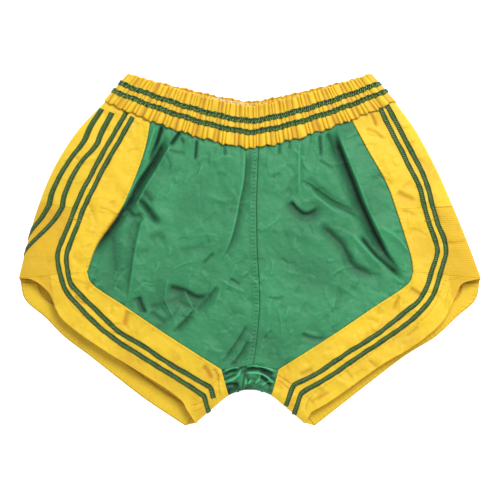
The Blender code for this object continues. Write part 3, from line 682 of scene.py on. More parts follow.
def nearest(points, path):
    """Distance of each point to a fold, and the unit vector from the fold into the cloth.

    The cloth lies on the right of the path, which gives the vector on the fold itself.
    """
    best = np.full(points.shape[:-1], np.inf)
    away = np.zeros(points.shape)
    for a, b in zip(path[:-1], path[1:]):
        run = b - a
        share = np.clip(((points - a) @ run) / (run @ run), 0, 1)
        offset = points - (a + share[..., None] * run)
        distance = np.hypot(offset[..., 0], offset[..., 1])
        inward = offset + 1e-7 * np.array([run[1], -run[0]]) / np.hypot(*run)
        closer = distance < best
        best = np.where(closer, distance, best)
        length = np.hypot(inward[..., 0], inward[..., 1])[..., None]
        away = np.where(closer[..., None], inward / length, away)
    return best, away


def common_surface(plan, layer, taped=1.0):
    """Middle of the body's cloth above the plan, the directions out of it, and the roll.

    layer holds 1 on the front and -1 on the back; taped is 1 where tapes lift the back cloth off
    the table. The roll is 0 on a fold and 1 where the cloth lies level.
    """
    layer = np.broadcast_to(layer, plan.shape[:-1])
    near_band = 1 - ease((band_edge(plan[..., 0]) - plan[..., 1]) / 0.045)
    lifted = np.maximum((BACK_TAPED - BACK_BARE) * taped, (BACK_BAND - BACK_BARE) * near_band)
    half = np.where(layer > 0, LOFT - MIDDLE, MIDDLE - BACK_BARE - lifted)
    roll = np.ones(plan.shape[:-1])
    lean = np.zeros(plan.shape)
    folds = [(LEFT.fold, SIDE_ROLL), (RIGHT.fold[::-1] * (-1, 1), SIDE_ROLL), (INSEAM, INSEAM_ROLL)]
    for path, reach in folds:
        distance, away = nearest(plan, path)
        share = np.clip(distance / reach, 0, 1)
        roll = roll * np.sqrt(1 - (1 - share) ** 2)
        lean = lean - away * ((1 - share) / reach)[..., None]
    upright = layer * roll / half
    normal = np.concatenate([lean, upright[..., None]], axis=-1)
    flat = (np.abs(lean).sum(axis=-1) < 1e-9)[..., None]
    normal = np.where(flat, np.stack([0 * layer, 0 * layer, layer], axis=-1), normal)
    normal = unit(normal)
    points = np.concatenate([plan, (MIDDLE + layer * half * roll)[..., None]], axis=-1)
    return points, normal, roll


def relief(plan, layer, roll):
    """Height of the folds along the way out of the cloth. It dies out on the side folds, and the
    cloth is pressed down where the waistband lies on it."""
    known = fields()
    under = 1 - ease((band_edge(plan[..., 0]) - 0.001 - plan[..., 1]) / 0.006)
    front = known["front"].read(plan) * (1 - under) - BAND_ROOM * under
    return np.where(layer > 0, front, known["back"].read(plan)) * roll ** 2


def draped(plan, layer, stand=0.0, taped=1.0):
    """Points of a sheet with its folds, stand metres outside the middle of the body's cloth."""
    points, normal, roll = common_surface(plan, layer, taped)
    height = relief(plan, np.broadcast_to(layer, plan.shape[:-1]), roll) + stand
    return points + normal * height[..., None]


def shade_at(plan, layer):
    """Painted shade of the front's folds at each point, less than 0 for a painted highlight on a crest. The
    back is even.
    """
    return np.where(np.broadcast_to(layer, plan.shape[:-1]) > 0, fields()["shade"].read(plan), 0.0)


# --- grids ---

def rows(start, end, shares):
    """A grid of plan points on straight rows from start to end."""
    return start[:, None] + (end - start)[:, None] * shares[None, :, None]


def joined(halves):
    """The rows of the front and of the back as one grid over the fold, and its layers."""
    front, back = halves
    plan = np.concatenate([front, back[:, -2::-1]], axis=1)
    layers = np.concatenate([np.full(front.shape[1], FRONT), np.full(back.shape[1] - 1, BACK)])
    return plan, np.broadcast_to(layers, plan.shape[:-1])


def side_wrap(side, t, lap=0.0, steps=40, arc_steps=14):
    """Plan points and layers of rows from the front seam over the fold to the back seam.

    Each half is level up to the roll, then closer together as 1 - cos of the turn.
    """
    turn = np.linspace(np.pi / 2, 0, arc_steps + 1)
    halves = []
    for layer in (FRONT, BACK):
        start, end = side.seam(layer, t), side.edge(layer, t)
        run = end - start
        length = np.maximum(np.linalg.norm(run, axis=-1), SIDE_ROLL * 1.02)[:, None]
        level = (1 - SIDE_ROLL / length) * np.linspace(0, 1, steps + 1)[None, :-1]
        arc = 1 - SIDE_ROLL * (1 - np.cos(turn))[None, :] / length
        shares = np.concatenate([level, arc], axis=1)
        shares = shares - (lap / length) * (1 - shares)
        halves.append(start[:, None] + run[:, None] * shares[..., None])
    return joined(halves)


def place(side, plan):
    """The plan mirrored to its own side of the shorts."""
    return plan * (side.sign, 1)


def travel(points, axis=1):
    """Distance travelled along the rows (axis 1) or down the columns (axis 0) of a grid."""
    steps = np.linalg.norm(np.diff(points, axis=axis), axis=-1)
    gone = np.cumsum(steps, axis=axis)
    return np.concatenate([np.zeros_like(np.take(gone, [0], axis=axis)), gone], axis=axis)


def at_distance(points, distance, wanted):
    """Points of each row at the wanted distances along it, between the row's own points."""
    index = (distance[:, None, :] <= wanted[:, :, None]).sum(axis=2) - 1
    index = np.clip(index, 0, distance.shape[1] - 2)
    row = np.arange(len(points))[:, None]
    before, after = distance[row, index], distance[row, index + 1]
    share = ((wanted - before) / np.maximum(after - before, 1e-9))[..., None]
    return points[row, index] * (1 - share) + points[row, index + 1] * share


# --- meshes ---

def grid_mesh(name, grid, ring=False):
    """A mesh of quads on a grid of points, with a UV map in metres along rows and columns.

    In a ring the last column joins the first one.
    """
    down, across = grid.shape[:2]
    number = np.arange(down * across).reshape(down, across)
    spread = np.concatenate([grid, grid[:, :1]], axis=1) if ring else grid
    if ring:
        number = np.concatenate([number, number[:, :1]], axis=1)
    corners = [number[:-1, :-1], number[:-1, 1:], number[1:, 1:], number[1:, :-1]]
    faces = np.stack(corners, axis=-1).reshape(-1, 4)
    mesh = bpy.data.meshes.new(name)
    mesh.vertices.add(down * across)
    mesh.vertices.foreach_set("co", grid.astype(np.float32).ravel())
    mesh.loops.add(faces.size)
    mesh.loops.foreach_set("vertex_index", faces.astype(np.int32).ravel())
    mesh.polygons.add(len(faces))
    mesh.polygons.foreach_set("loop_start", np.arange(0, faces.size, 4, dtype=np.int32))
    mesh.update(calc_edges=True)
    gone = np.stack([travel(spread, 1), travel(spread, 0)], axis=-1)
    per_corner = np.stack([gone[:-1, :-1], gone[:-1, 1:], gone[1:, 1:], gone[1:, :-1]], axis=2)
    layer = mesh.uv_layers.new(name="cloth")
    layer.data.foreach_set("uv", per_corner.astype(np.float32).ravel())
    mesh.validate()
    mesh.shade_smooth()
    return mesh


def give(mesh, name, values):
    """Puts one number on every point of a mesh."""
    made = mesh.attributes.new(name, "FLOAT", "POINT")
    made.data.foreach_set("value", np.asarray(values, dtype=np.float32).ravel())


def piece(name, mesh, material, node=None):
    """An object of the mesh, riding on the shorts. It stands for its CAD node if there is one."""
    mesh.materials.append(material)
    obj = bpy.data.objects.new(name, mesh)
    bpy.context.scene.collection.objects.link(obj)
    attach(obj, "root")
    if node:
        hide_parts(node)
    return obj


def sheet(node, grid, slot, thickness=None, look=None, shade=0.0, ribbed=0.0, fray=0.0, ring=False,
          word="cloth"):
    """A sheet of cloth on a grid of points, given its thickness on both sides of the grid.

    Its finish is called look, or as the slot is; it is as thick as the satin if nothing is said.
    """
    mesh = grid_mesh(f"{node}_{word}", grid, ring)
    # fold carries painted shade, and below 0 a painted highlight
    for name, values in (("fold", shade), ("ribbed", ribbed), ("fray", fray)):
        give(mesh, name, np.broadcast_to(values, grid.shape[:2]))
    obj = piece(f"{node}_{word}", mesh, finish(look or slot), node)
    shell = obj.modifiers.new("thickness", "SOLIDIFY")
    shell.thickness = thickness or sizes().cloth
    shell.offset = 0
    shell.use_even_offset = False
    return obj


def flat_size(grid, ring=False):
    """Width, length and area of the cloth that a grid of points was cut from."""
    spread = np.concatenate([grid, grid[:, :1]], axis=1) if ring else grid
    side_a = spread[1:, 1:] - spread[:-1, :-1]
    side_b = spread[1:, :-1] - spread[:-1, 1:]
    area = np.linalg.norm(np.cross(side_a, side_b), axis=-1).sum() / 2
    width, length = travel(spread, 1)[:, -1].max(), travel(spread, 0)[-1].max()
    return width, length, min(area, width * length)


def declare(grid, ring=False):
    """Works out the width, length and area of the cloth a sheet was cut from, and does nothing more with
    them.
    """
    width, length, area = flat_size(grid, ring)


# --- finishes ---

# Waves of the patterns, as turns of a sine for each metre
RIBS, ELASTIC_CORDS = 2600.0, 2400.0
LEG_STRANDS, WAIST_STRANDS, BRAID_CROSSING = 2500.0, 2100.0, 990.0
WEAVE_SCALE, WEAVE_SLANT = 900.0, 0.79
# Gold darkened as painted shade of the crinkles, and a lighter gold for specks
CRINKLE_SHADE_GOLD, BRIGHT_GOLD = (0.760, 0.370, 0.018), (1.0, 0.690, 0.070)


class Link:
    """A socket of a finish. Sums on links add Math nodes."""

    def __init__(self, recipe, socket):
        self.recipe = recipe
        self.socket = socket

    def math(self, operation, *values):
        inputs = dict(enumerate(values))
        return self.recipe.node("ShaderNodeMath", {"operation": operation}, inputs)

    def __add__(self, other):
        return self.math("ADD", self, other)

    def __sub__(self, other):
        return self.math("SUBTRACT", self, other)

    def __rsub__(self, other):
        return self.math("SUBTRACT", other, self)

    def __mul__(self, other):
        return self.math("MULTIPLY", self, other)

    __radd__ = __add__
    __rmul__ = __mul__

    def sine(self):
        return self.math("SINE", self)

    def clamped(self):
        return self.math("MAXIMUM", self.math("MINIMUM", self, 1.0), 0.0)


class Recipe:
    """The nodes of one finish, ending in a Principled shader."""

    def __init__(self, name, **constants):
        self.material = bpy.data.materials.new(name)
        self.material.use_nodes = True
        self.tree = self.material.node_tree
        self.shader = self.tree.nodes["Principled BSDF"]
        for socket, value in constants.items():
            self.shader.inputs[socket.replace("_", " ").title().replace("Ior", "IOR")].default_value = value

    def node(self, kind, settings=None, inputs=None, output=0):
        """Adds a node: its settings first, then the values or links of its sockets."""
        made = self.tree.nodes.new(kind)
        for key, value in (settings or {}).items():
            setattr(made, key, value)
        for key, value in (inputs or {}).items():
            if isinstance(value, Link):
                self.tree.links.new(value.socket, made.inputs[key])
            else:
                made.inputs[key].default_value = value
        return Link(self, made.outputs[output])

    def number(self, name):
        """A number that the mesh carries."""
        return self.node("ShaderNodeAttribute", {"attribute_name": name}, output="Fac")

    def place(self, scale=(1, 1, 1), turn=0.0):
        """Place on the object, scaled and turned about Z."""
        where = self.node("ShaderNodeTexCoord", output="Object")
        return self.node("ShaderNodeMapping", None,
                         {"Vector": where, "Scale": scale, "Rotation": (0, 0, turn)})

    def cloth_place(self):
        """Place on the cloth by its UV map, in metres."""
        return self.node("ShaderNodeUVMap", {"uv_map": "cloth"})

    def part(self, vector, axis):
        """One of the three numbers of a vector: 0, 1 or 2."""
        return self.node("ShaderNodeSeparateXYZ", None, {"Vector": vector}, output=axis)

    def noise(self, vector, scale, detail=3.0, roughness=0.55):
        """Cloudy noise; scale is the number of its patches in a metre."""
        return self.node("ShaderNodeTexNoise", None, {"Vector": vector, "Scale": scale, "Detail": detail,
                                                      "Roughness": roughness})

    def wave(self, vector, scale):
        """Even stripes across X."""
        return self.node("ShaderNodeTexWave", {"bands_direction": "X"},
                         {"Vector": vector, "Scale": scale}, output="Fac")

    def mix(self, share, first, second):
        """A colour between two colours."""
        return self.node("ShaderNodeMix", {"data_type": "RGBA"}, {0: share, 6: first, 7: second}, output=2)

    def feed(self, socket, value):
        """Links a value to the shader."""
        self.tree.links.new(value.socket, self.shader.inputs[socket])

    def bump(self, height, distance, strength=1.0, under=None):
        """A relief of the surface, on top of another one where there is one."""
        inputs = {"Height": height, "Distance": distance, "Strength": strength}
        if under:
            inputs["Normal"] = under
        return self.node("ShaderNodeBump", None, inputs)


def shaded(value, amount):
    """A colour made lighter or darker."""
    return tuple(min(1.0, part * amount) for part in value)


def tone(value, amount=1.0):
    """A colour made lighter or darker, as a socket takes it."""
    return (*shaded(value, amount), 1.0)


def cloth_relief(r, crinkle, depth, strength, grain):
    """Crinkles of a depth and strength, the fine grain on them, and the slanting weave on that."""
    soft = r.bump(crinkle, depth, strength)
    small = r.bump(grain, 0.4 * MM, 0.5, soft)
    weave = r.wave(r.place(turn=WEAVE_SLANT), WEAVE_SCALE)
    r.feed("Normal", r.bump(weave, 0.05 * MM, 0.5, small))


def satin(name, open_colour, shade_colour):
    """Satin: fine weave, soft gloss, small crinkles, lighter specks, painted shade of the crinkles in
    darker patches, painted shade in folds and a painted highlight on crests.
    """
    r = Recipe(name, roughness=0.50, sheen_weight=0.04, sheen_roughness=0.5, specular_ior_level=0.30)
    broad = r.noise(r.place(), 9.0, 2.0)
    fine = r.noise(r.place((1, 1.5, 1), 0.6), 230.0, 4.0, 0.65)
    crinkle = r.noise(r.place((1.0, 1.5, 1), -0.5), 85.0, 3.0, 0.62)
    ground = r.mix((broad * 2.4 - 0.7).clamped(), tone(open_colour, 0.90), tone(open_colour, 1.08))
    specked = r.mix((fine * 2.6 - 1.0).clamped() * 0.32, ground, tone(open_colour, 1.26))
    # Painted shade of the crinkles: darker patches where the crinkle noise is high
    crinkle_shaded = r.mix((crinkle * 3.6 - 1.9).clamped() * 0.38, specked, tone(open_colour, 0.70))
    # Painted shade deep in folds, and a painted highlight on crests where fold is below 0
    deep = (r.number("fold") * 1.25).clamped()
    crest = (r.number("fold") * -1.0).clamped()
    lit = r.mix(crest, crinkle_shaded, tone(open_colour, 1.9))
    r.feed("Base Color", r.mix(deep, lit, tone(shade_colour)))
    r.feed("Roughness", 0.40 + 0.20 * fine + 0.12 * deep)
    cloth_relief(r, crinkle, 1.5 * MM, 0.7, fine)
    return r.material


def gold_cloth(name, c):
    """Gold satin that turns to matt ribbed cloth where the mesh says ribbed, with frayed threads of
    the elastic where it says so."""
    r = Recipe(name, roughness=0.50, sheen_weight=0.04, sheen_roughness=0.5, specular_ior_level=0.30)
    broad = r.noise(r.place(), 11.0, 2.0)
    fine = r.noise(r.place((1, 2.2, 1)), 200.0, 4.0, 0.65)
    crinkle = r.noise(r.place((1.5, 1.0, 1), 0.25), 70.0, 3.0, 0.6)
    ground = r.mix((broad * 2.4 - 0.7).clamped(), tone(c.gold, 0.93), tone(c.gold, 1.06))
    # Painted shade of the crinkles in darker gold patches
    crinkle_shaded = r.mix((crinkle * 3.0 - 1.60).clamped() * 0.50, ground, tone(CRINKLE_SHADE_GOLD))
    specked = r.mix((fine * 2.6 - 1.1).clamped() * 0.30, crinkle_shaded, tone(BRIGHT_GOLD))
    # Painted shade deep in folds and pleats, on the plain and the ribbed cloth
    deep = r.number("fold").clamped()
    plain = r.mix(deep, specked, tone(c.gold_fold_shade))
    rib = (r.part(r.place(), 1) * RIBS + crinkle * 5.0).sine()
    rib_colour = r.mix((rib * 0.5 + 0.5) * 0.5, tone(c.ribbed, 0.86), tone(c.ribbed, 1.08))
    matt = r.number("ribbed")
    body = r.mix(matt, plain, r.mix(deep * 0.8, rib_colour, tone(c.gold_fold_shade)))
    streak = r.noise(r.place((0.35, 2.4, 1), 0.3), 420.0, 2.0, 0.7)
    frayed = (r.number("fray") * (streak * 5.0 - 2.3)).clamped()
    r.feed("Base Color", r.mix(frayed, body, tone(c.elastic)))
    r.feed("Roughness", 0.42 + 0.18 * fine + 0.30 * matt)
    cloth_relief(r, crinkle, 1.0 * MM, 0.5, fine * (1 - matt) + rib * matt * 0.35)
    return r.material


def braid_cloth(name, ground, fleck, way):
    """Flat braid: slanting strands that cross in the middle, shiny where they come to the top.

    way is the axis of the UV map that runs along it: 1 down the legs, 0 round the waist.
    """
    r = Recipe(name, roughness=0.6, sheen_weight=0.10, specular_ior_level=0.35)
    where = r.cloth_place()
    across, down = r.part(where, 1 - way), r.part(where, way)
    rough = r.noise(r.place(), 330.0, 3.0, 0.6)
    bend = (across * BRAID_CROSSING).sine() * 1.5
    strand = (down * (LEG_STRANDS if way else WAIST_STRANDS) + bend + rough * 3.0).sine()
    middle = (across * BRAID_CROSSING - 0.2).sine()
    shine = ((strand * 0.8 + middle * 0.30 + rough * 1.6 - 0.9) * 1.8).clamped()
    woven = r.mix(shine, tone(ground), tone(fleck))
    # Painted shade from the mesh's fold number: at the leg braids' edges and in the waist braids' gaps
    r.feed("Base Color", r.mix(r.number("fold").clamped(), woven, tone(ground, 0.25)))
    r.feed("Roughness", 0.72 - 0.22 * shine)
    r.feed("Normal", r.bump(strand * 0.5 + rough, 0.00025 if way else 0.0005, 0.8))
    return r.material


def plain_thread(name, value):
    """Twisted thread: slight change of colour along it."""
    r = Recipe(name, roughness=0.6, sheen_weight=0.1)
    twist = r.noise(r.place(), 900.0, 2.0)
    r.feed("Base Color", r.mix(twist, tone(value, 0.75), tone(value, 1.25)))
    r.feed("Roughness", 0.5 + 0.25 * twist)
    r.feed("Normal", r.bump(twist, 0.0003, 0.6))
    return r.material


def elastic_cloth(name, value):
    """Woven elastic: cords side by side along the band."""
    r = Recipe(name, roughness=0.8, sheen_weight=0.1)
    down = r.part(r.cloth_place(), 1)
    cord = (down * ELASTIC_CORDS).sine() * 0.5 + 0.5
    rough = r.noise(r.place(), 500.0, 3.0)
    r.feed("Base Color", r.mix(cord * 0.5 + rough * 0.3, tone(value, 0.7), tone(value)))
    r.feed("Roughness", 0.7 + 0.2 * rough)
    r.feed("Normal", r.bump(cord + rough, 0.0004, 0.7))
    return r.material


def floor_finish(name, value):
    """Plain matt floor, its tone barely uneven."""
    r = Recipe(name, roughness=0.9, emission_strength=0.8, emission_color=(1, 1, 1, 1))
    patches = r.noise(r.place(), 3.0, 2.0)
    r.feed("Base Color", r.mix(patches, tone(value), tone(value, 0.99)))
    return r.material


FINISHES = {}


def finish(name):
    """A finish by name, made once from the colours in the sidebar."""
    if name not in FINISHES:
        c = bpy.context.scene.shorts_colours
        makers = {
            "green_satin": lambda: satin(name, c.green, c.green_fold_shade),
            "gold_satin": lambda: gold_cloth(name, c),
            "green_braid": lambda: braid_cloth(name, c.braid, c.braid_fleck, 1),
            # The waist braid's ground is darker and its flecks brighter than the leg braid's: painted shade
            # and painted highlight of its bunched knots
            "waist_braid": lambda: braid_cloth(name, shaded(c.braid, 0.3), shaded(c.braid_fleck, 1.5), 0),
            "green_thread": lambda: plain_thread(name, c.green_thread),
            "gold_thread": lambda: plain_thread(name, c.gold_thread),
            "white_elastic": lambda: elastic_cloth(name, c.elastic),
            "floor": lambda: floor_finish(name, bpy.context.scene.shorts_stage.floor),
        }
        FINISHES[name] = makers[name]()
    return FINISHES[name]


# --- the green body ---

def seam_shift(y):
    """How far the front's centre seam has slid to the wearer's left, at heights of the plan."""
    heights = np.array([-170, -150, -134, -106, -72, -40, 0, 60, 129, 150]) * MM
    slid = np.array([0, 3, 6, 9.5, 12.5, 11.5, 9, 8, 11, 11.5]) * MM
    return np.interp(y, heights, slid)


def body_panel(word, layer):
    """A green panel: rows from the centre seam to the border seam, with the waist at the top.

    The rows' inner ends fall down the centre; the top row follows the waistband. Towards the gold
    border the cloth sinks by a bell 3 mm wide, puckered by rolling noise, and it dips in a groove at
    the centre seam, where the wearer's right panel rises a little over the felled allowance.
    """
    side = SIDES[word]
    front = layer == FRONT
    down, across = (244, 184) if front else (110, 80)
    upper = int(down * 0.46)    # rows beside the side panel, the rest beside the leg border
    t = np.concatenate([np.linspace(0, 1, upper), np.linspace(1, 2, down - upper + 1)[1:]])
    seam = side.seam(layer, t)
    back = 0.0 if front else 1.0
    top = band_point(np.array(0.0), CAUGHT, back)
    bottom = GUSSET_HEAD[layer]
    centre = top + (bottom - top) * ((t / 2) ** 0.9)[:, None]
    shares = np.linspace(0, 1, across)
    plan = rows(centre, seam, shares)
    over = plan[0, :, 0] / (WAIST_HALF + BAND_FLARE * (1 - CAUGHT))
    sag = band_point(over, CAUGHT, back)[:, 1] - plan[0, :, 1]
    plan[..., 1] += sag * (1 - ease(t / 0.6))[:, None]
    plan = place(side, plan)
    if front:
        plan[..., 0] += seam_shift(plan[..., 1]) * (1 - shares[None, :]) ** 2
    taped = np.maximum(ease((shares[None, :] - 0.7) / 0.25), ease((t[:, None] - 1.7) / 0.25))
    length = np.linalg.norm(seam - centre, axis=1)[:, None]
    off_seam, off_centre = (1 - shares)[None, :] * length, shares[None, :] * length
    sunk = -0.9 * MM * bell(off_seam, 3 * MM)
    sunk = sunk + 0.40 * MM * ripple(plan, "seam") * bell(off_seam, 11 * MM)
    groove = -0.5 * MM * bell(off_centre, 1.4 * MM)
    felled = 0.45 * MM * ease((FELL_WIDTH - off_centre) / (2 * MM)) if word == "right" else 0.0
    grid = draped(plan, layer, sunk + groove + felled, np.broadcast_to(taped, plan.shape[:-1]))
    # Painted shadow of the lapping gold edge on the green beside it: deep on the wearer's left, where the
    # edge faces away from the lamp, faint on the right
    dark = 0.70 if word == "left" else 0.20
    known = shade_at(plan, layer)
    shade = np.maximum(known, dark * bell(off_seam, 1.2 * MM))
    # Adds back the front's painted highlights on crests
    shade = np.maximum(shade, 0.55 * bell(off_centre, 0.8 * MM)) + np.minimum(known, 0)
    obj = sheet(f"{NAMES[layer]}_panel_{word}", grid, "green_satin", shade=shade)
    declare(grid)


def centre_seam(layer):
    """The flat-felled allowance that holds the two green panels together, on the inside."""
    back = 0.0 if layer == FRONT else 1.0
    top = band_point(np.array(0.0), 0.0, back)[1] - 0.002
    bottom = GUSSET_HEAD[layer][1] + 0.002
    y = np.linspace(top, bottom, 160)
    x = np.linspace(-FELL_WIDTH / 2, FELL_WIDTH / 2, 7)
    plan = np.stack(np.broadcast_arrays(x[None, :], y[:, None]), axis=-1).copy()
    if layer == FRONT:
        plan[..., 0] += seam_shift(plan[..., 1])
    taped = np.broadcast_to(ease((0.06 - (y - bottom)) / 0.05)[:, None], plan.shape[:-1])
    grid = draped(plan, layer, HEM_STAND, taped)
    obj = sheet(f"centre_{NAMES[layer]}_seam", grid, "green_satin", FACING)
    declare(grid)


def crotch_gusset():
    """The gusset between the legs, folded over the crotch arch from the front to the back.

    It is creased by folds of its own and by rolling noise, strongest on the front, and a seam runs
    down it a little to the wearer's right of the middle.
    """
    across = np.linspace(-1, 1, 90)
    arch = np.stack([across * HEAD[0], HEAD[1] + ARCH_RISE * (1 - across ** 2)], axis=-1)
    turn = np.linspace(np.pi / 2, 0, 13)
    halves = []
    for layer in (FRONT, BACK):
        head, foot = GUSSET_HEAD[layer], GUSSET_SIDE[layer]
        x = across * foot[0]
        y = head[1] + (foot[1] - head[1]) * np.abs(across) + 0.6 * MM
        if layer == FRONT:
            x = x + seam_shift(y) * (1 - np.abs(across)) ** 2
        edge = np.stack([x, y], axis=-1)
        length = np.linalg.norm(edge - arch, axis=-1).mean()
        level = np.linspace(0, 1 - INSEAM_ROLL / length, 34)[:-1]
        arc = 1 - INSEAM_ROLL * (1 - np.cos(turn)) / length
        halves.append(rows(edge, arch, np.concatenate([level, arc])))
    plan, layers = joined(halves)
    points, normal, roll = common_surface(plan, layers)
    wave = ripple(plan * (1.5, 1.0), "gusset")
    pucker = np.clip(wave + 0.45 * ripple(plan * (1, 1.5), "fine gusset"), -1.2, 1.2)
    seam = np.abs(plan[..., 0] + 0.008 - (plan[..., 1] + 0.165) * 0.15)
    middle = bell(seam, 1.2 * MM)
    inner = ease(5 * (1 - np.abs(across)))[:, None]
    folds = fields()["gusset"].read(plan)
    height = np.where(layers > 0, (folds + 0.7 * MM * pucker) * inner - 0.8 * MM * middle - 1.5 * MM,
                      -0.6 * MM * np.clip(pucker, 0, 1))
    grid = points + normal * (height * (0.35 + 0.65 * roll))[..., None]
    # Painted shade: darker in the hollows of the puckers and folds on the front, an even painted shade on
    # the back
    shade = np.where(layers > 0, np.clip(0.34 - 0.42 * pucker - folds / MM * 0.22, 0.0, 0.8), 0.1)
    known = fields()["gusset_shade"].read(plan) * (layers > 0)
    # The gusset folds' painted shade, and their painted highlights doubled
    shade = np.maximum(np.maximum(shade, known), 0.7 * middle * (layers > 0)) + np.minimum(known, 0) * 2
    obj = sheet("crotch_gusset", grid, "green_satin", shade=shade)
    declare(grid)


# --- the gold sides and borders ---

def braid_path(word, order, steps=4):
    """The middle of a braid on the front, in metres."""
    return spline(np.array(BRAID_PATHS[word, order]) * MM, steps)


def outside_braid(plan, word):
    """Distance out from the outer braid on the front, towards the side fold."""
    return along_and_off(plan, braid_path(word, "outer"))[1] * SIDES[word].sign


def gusset_join(sign, y):
    """Distance out from the middle of the seam where the ribbed gusset meets the leg border."""
    return 0.2546 - 0.19 * (y + 0.046) if sign > 0 else 0.2520 + 0.156 * (y + 0.045)


def proud(distance):
    """Height of a gold edge that laps over the green: a small rolled edge on a wider swell."""
    roll = bell(distance - 1.5 * MM, 1.4 * MM)
    return 0.50 * MM * bell(distance, 7 * MM) + 0.75 * MM * roll


def side_piece(word, name, t, ribbed):
    """A gold piece that wraps the side fold, from the front seam round to the back seam.

    The ribbed one is matt outside the outer braid, and a groove shows its join on the wearer's left.
    """
    side = SIDES[word]
    plan, layers = side_wrap(side, t, SEAM_LAP)
    gone = travel(plan)
    edge = np.minimum(gone, gone[:, -1:] - gone)
    plan = place(side, plan)
    mask = 0.0
    if ribbed:
        mask = np.where(layers > 0, ease(outside_braid(plan, word) / (0.8 * MM)), 1.0)
    join = (t - t[0])[:, None] * SIDE_LENGTH
    shown = mask * (layers > 0) if word == "left" else 0.0
    seam_groove = -0.45 * MM * bell(join, 1.6 * MM) * shown
    puckers = 0.25 * MM * np.sin(t * 2 * np.pi * 42)[:, None] * bell(edge, 5 * MM)
    lift = np.where(layers > 0, proud(edge) + puckers, 0.0) + seam_groove
    grid = draped(plan, layers, lift)
    # Painted shade of the front's folds, and a dark line at the join
    shade = np.maximum(shade_at(plan, layers), 0.45 * bell(join, 0.8 * MM) * shown)
    obj = sheet(f"{name}_{word}", grid, "gold_ribbed" if ribbed else "gold_satin",
                look="gold_satin", shade=shade, ribbed=mask)
    declare(grid)


def stitch_puckers(plan):
    """A sine wave along the rows' outer ends, one wave to a pucker, its pace a little uneven."""
    walk = travel(plan[:, -1:], 0)
    return np.sin(walk * 2 * np.pi / PUCKER + 1.7 * np.sin(walk / 0.011))


def leg_border(word, layer):
    """The gold border of a leg opening, from the side's tip round the inner corner to the inseam.

    The turned-in hem swells the cloth a little along the edge, with a row of puckers where it is
    stitched: a sine wave under a bell over the stitch line.
    """
    side = SIDES[word]
    front = layer == FRONT
    down, across = (260, 62) if front else (220, 48)
    leg = int(down * 0.86)
    t = np.concatenate([np.linspace(1, 2, leg), np.linspace(2, 2.97, down - leg + 1)[1:]])
    start, end = side.seam(layer, t), side.edge(layer, t)
    length = np.linalg.norm(end - start, axis=1)
    start = start - (end - start) / length[:, None] * SEAM_LAP
    shares = 1 - (1 - np.linspace(0, 1, across)) ** 1.15
    plan = place(side, rows(start, end, shares))
    off_seam = shares[None, :] * length[:, None]
    off_edge = (1 - shares)[None, :] * length[:, None]
    pucker = stitch_puckers(plan)
    stitched = bell(off_edge - HEM_STITCH, 3.0 * MM)
    swell = 0.5 * MM * bell(off_edge, 4 * MM) * ease((t[:, None] - 1) / 0.10)
    bands = 0.25 * MM * pucker * bell(off_seam, 5 * MM)
    if front:
        lift = proud(off_seam) + swell + bands + 0.22 * MM * pucker * stitched
    else:
        edge_pucker = 0.28 * MM * pucker * bell(off_edge - 7 * MM, 5 * MM)
        lift = -0.3 * MM * (1 + pucker) * stitched - np.abs(edge_pucker) - 0.1 * MM
    grid = draped(plan, layer, lift)
    x = np.abs(plan[..., 0])
    off = outside_braid(plan, word)
    past_join = x - gusset_join(side.sign, plan[..., 1])
    mask = ease(past_join / (0.6 * MM)) * (ease(off / (0.8 * MM)) if front else 1.0)
    seam_line = 0.6 * bell(past_join, 0.9 * MM) * (off > 0 if front else 1.0)
    # Painted shade of the front's folds, and a dark line at the join
    shade = np.maximum(shade_at(plan, layer), 0.45 * seam_line)
    hem_line = bell(off_edge - HEM_STITCH, 0.6 * MM) * (0.5 + 0.5 * pucker)
    shade = np.maximum(shade, 0.35 * hem_line * (1.0 if front else 0.8))
    name = f"leg_border_{NAMES[layer]}_{word}"
    return sheet(name, grid, "gold_satin", shade=shade, ribbed=mask), grid


def hem_facing(word, layer):
    """The hem turned in behind the leg border, puckered along its stitched edge."""
    side = SIDES[word]
    begins = 0.11 if layer == FRONT else 0.02
    t = 1 + np.linspace(begins, 1, 240)
    start, end = side.seam(layer, t), side.edge(layer, t)
    length = np.linalg.norm(end - start, axis=-1)[:, None]
    end = end - (end - start) / length * MM
    start = end - (end - start) * (HEM_FACING / length)
    shares = np.linspace(0, 1, 20)
    plan = place(side, rows(start, end, shares))
    pucker = stitch_puckers(plan)
    along_edge = bell((1 - shares)[None, :], 0.30)
    lift = 0.24 * MM * pucker * along_edge - 0.35 * MM
    points, normal, roll = common_surface(plan, layer)
    cloth = relief(plan, np.broadcast_to(layer, plan.shape[:-1]), roll)
    grid = points + normal * (cloth + HEM_STAND + 0.35 * MM * (layer < 0) + lift)[..., None]
    # Painted shade in the hollows of the puckers and along the inner edge, under the border
    shade = 0.16 * np.clip(-pucker, 0, 1) * along_edge + 0.55 * bell(shares[None, :], 0.05)
    return sheet(f"hem_facing_{NAMES[layer]}_{word}", grid, "gold_satin", shade=shade)


# --- braid ---

def edge_dark(count, across, depth):
    """Shade of a braid: it deepens towards both edges as the square of the distance off the middle."""
    return depth * np.linspace(-1, 1, across)[None, :] ** 2 * np.ones((count, 1))


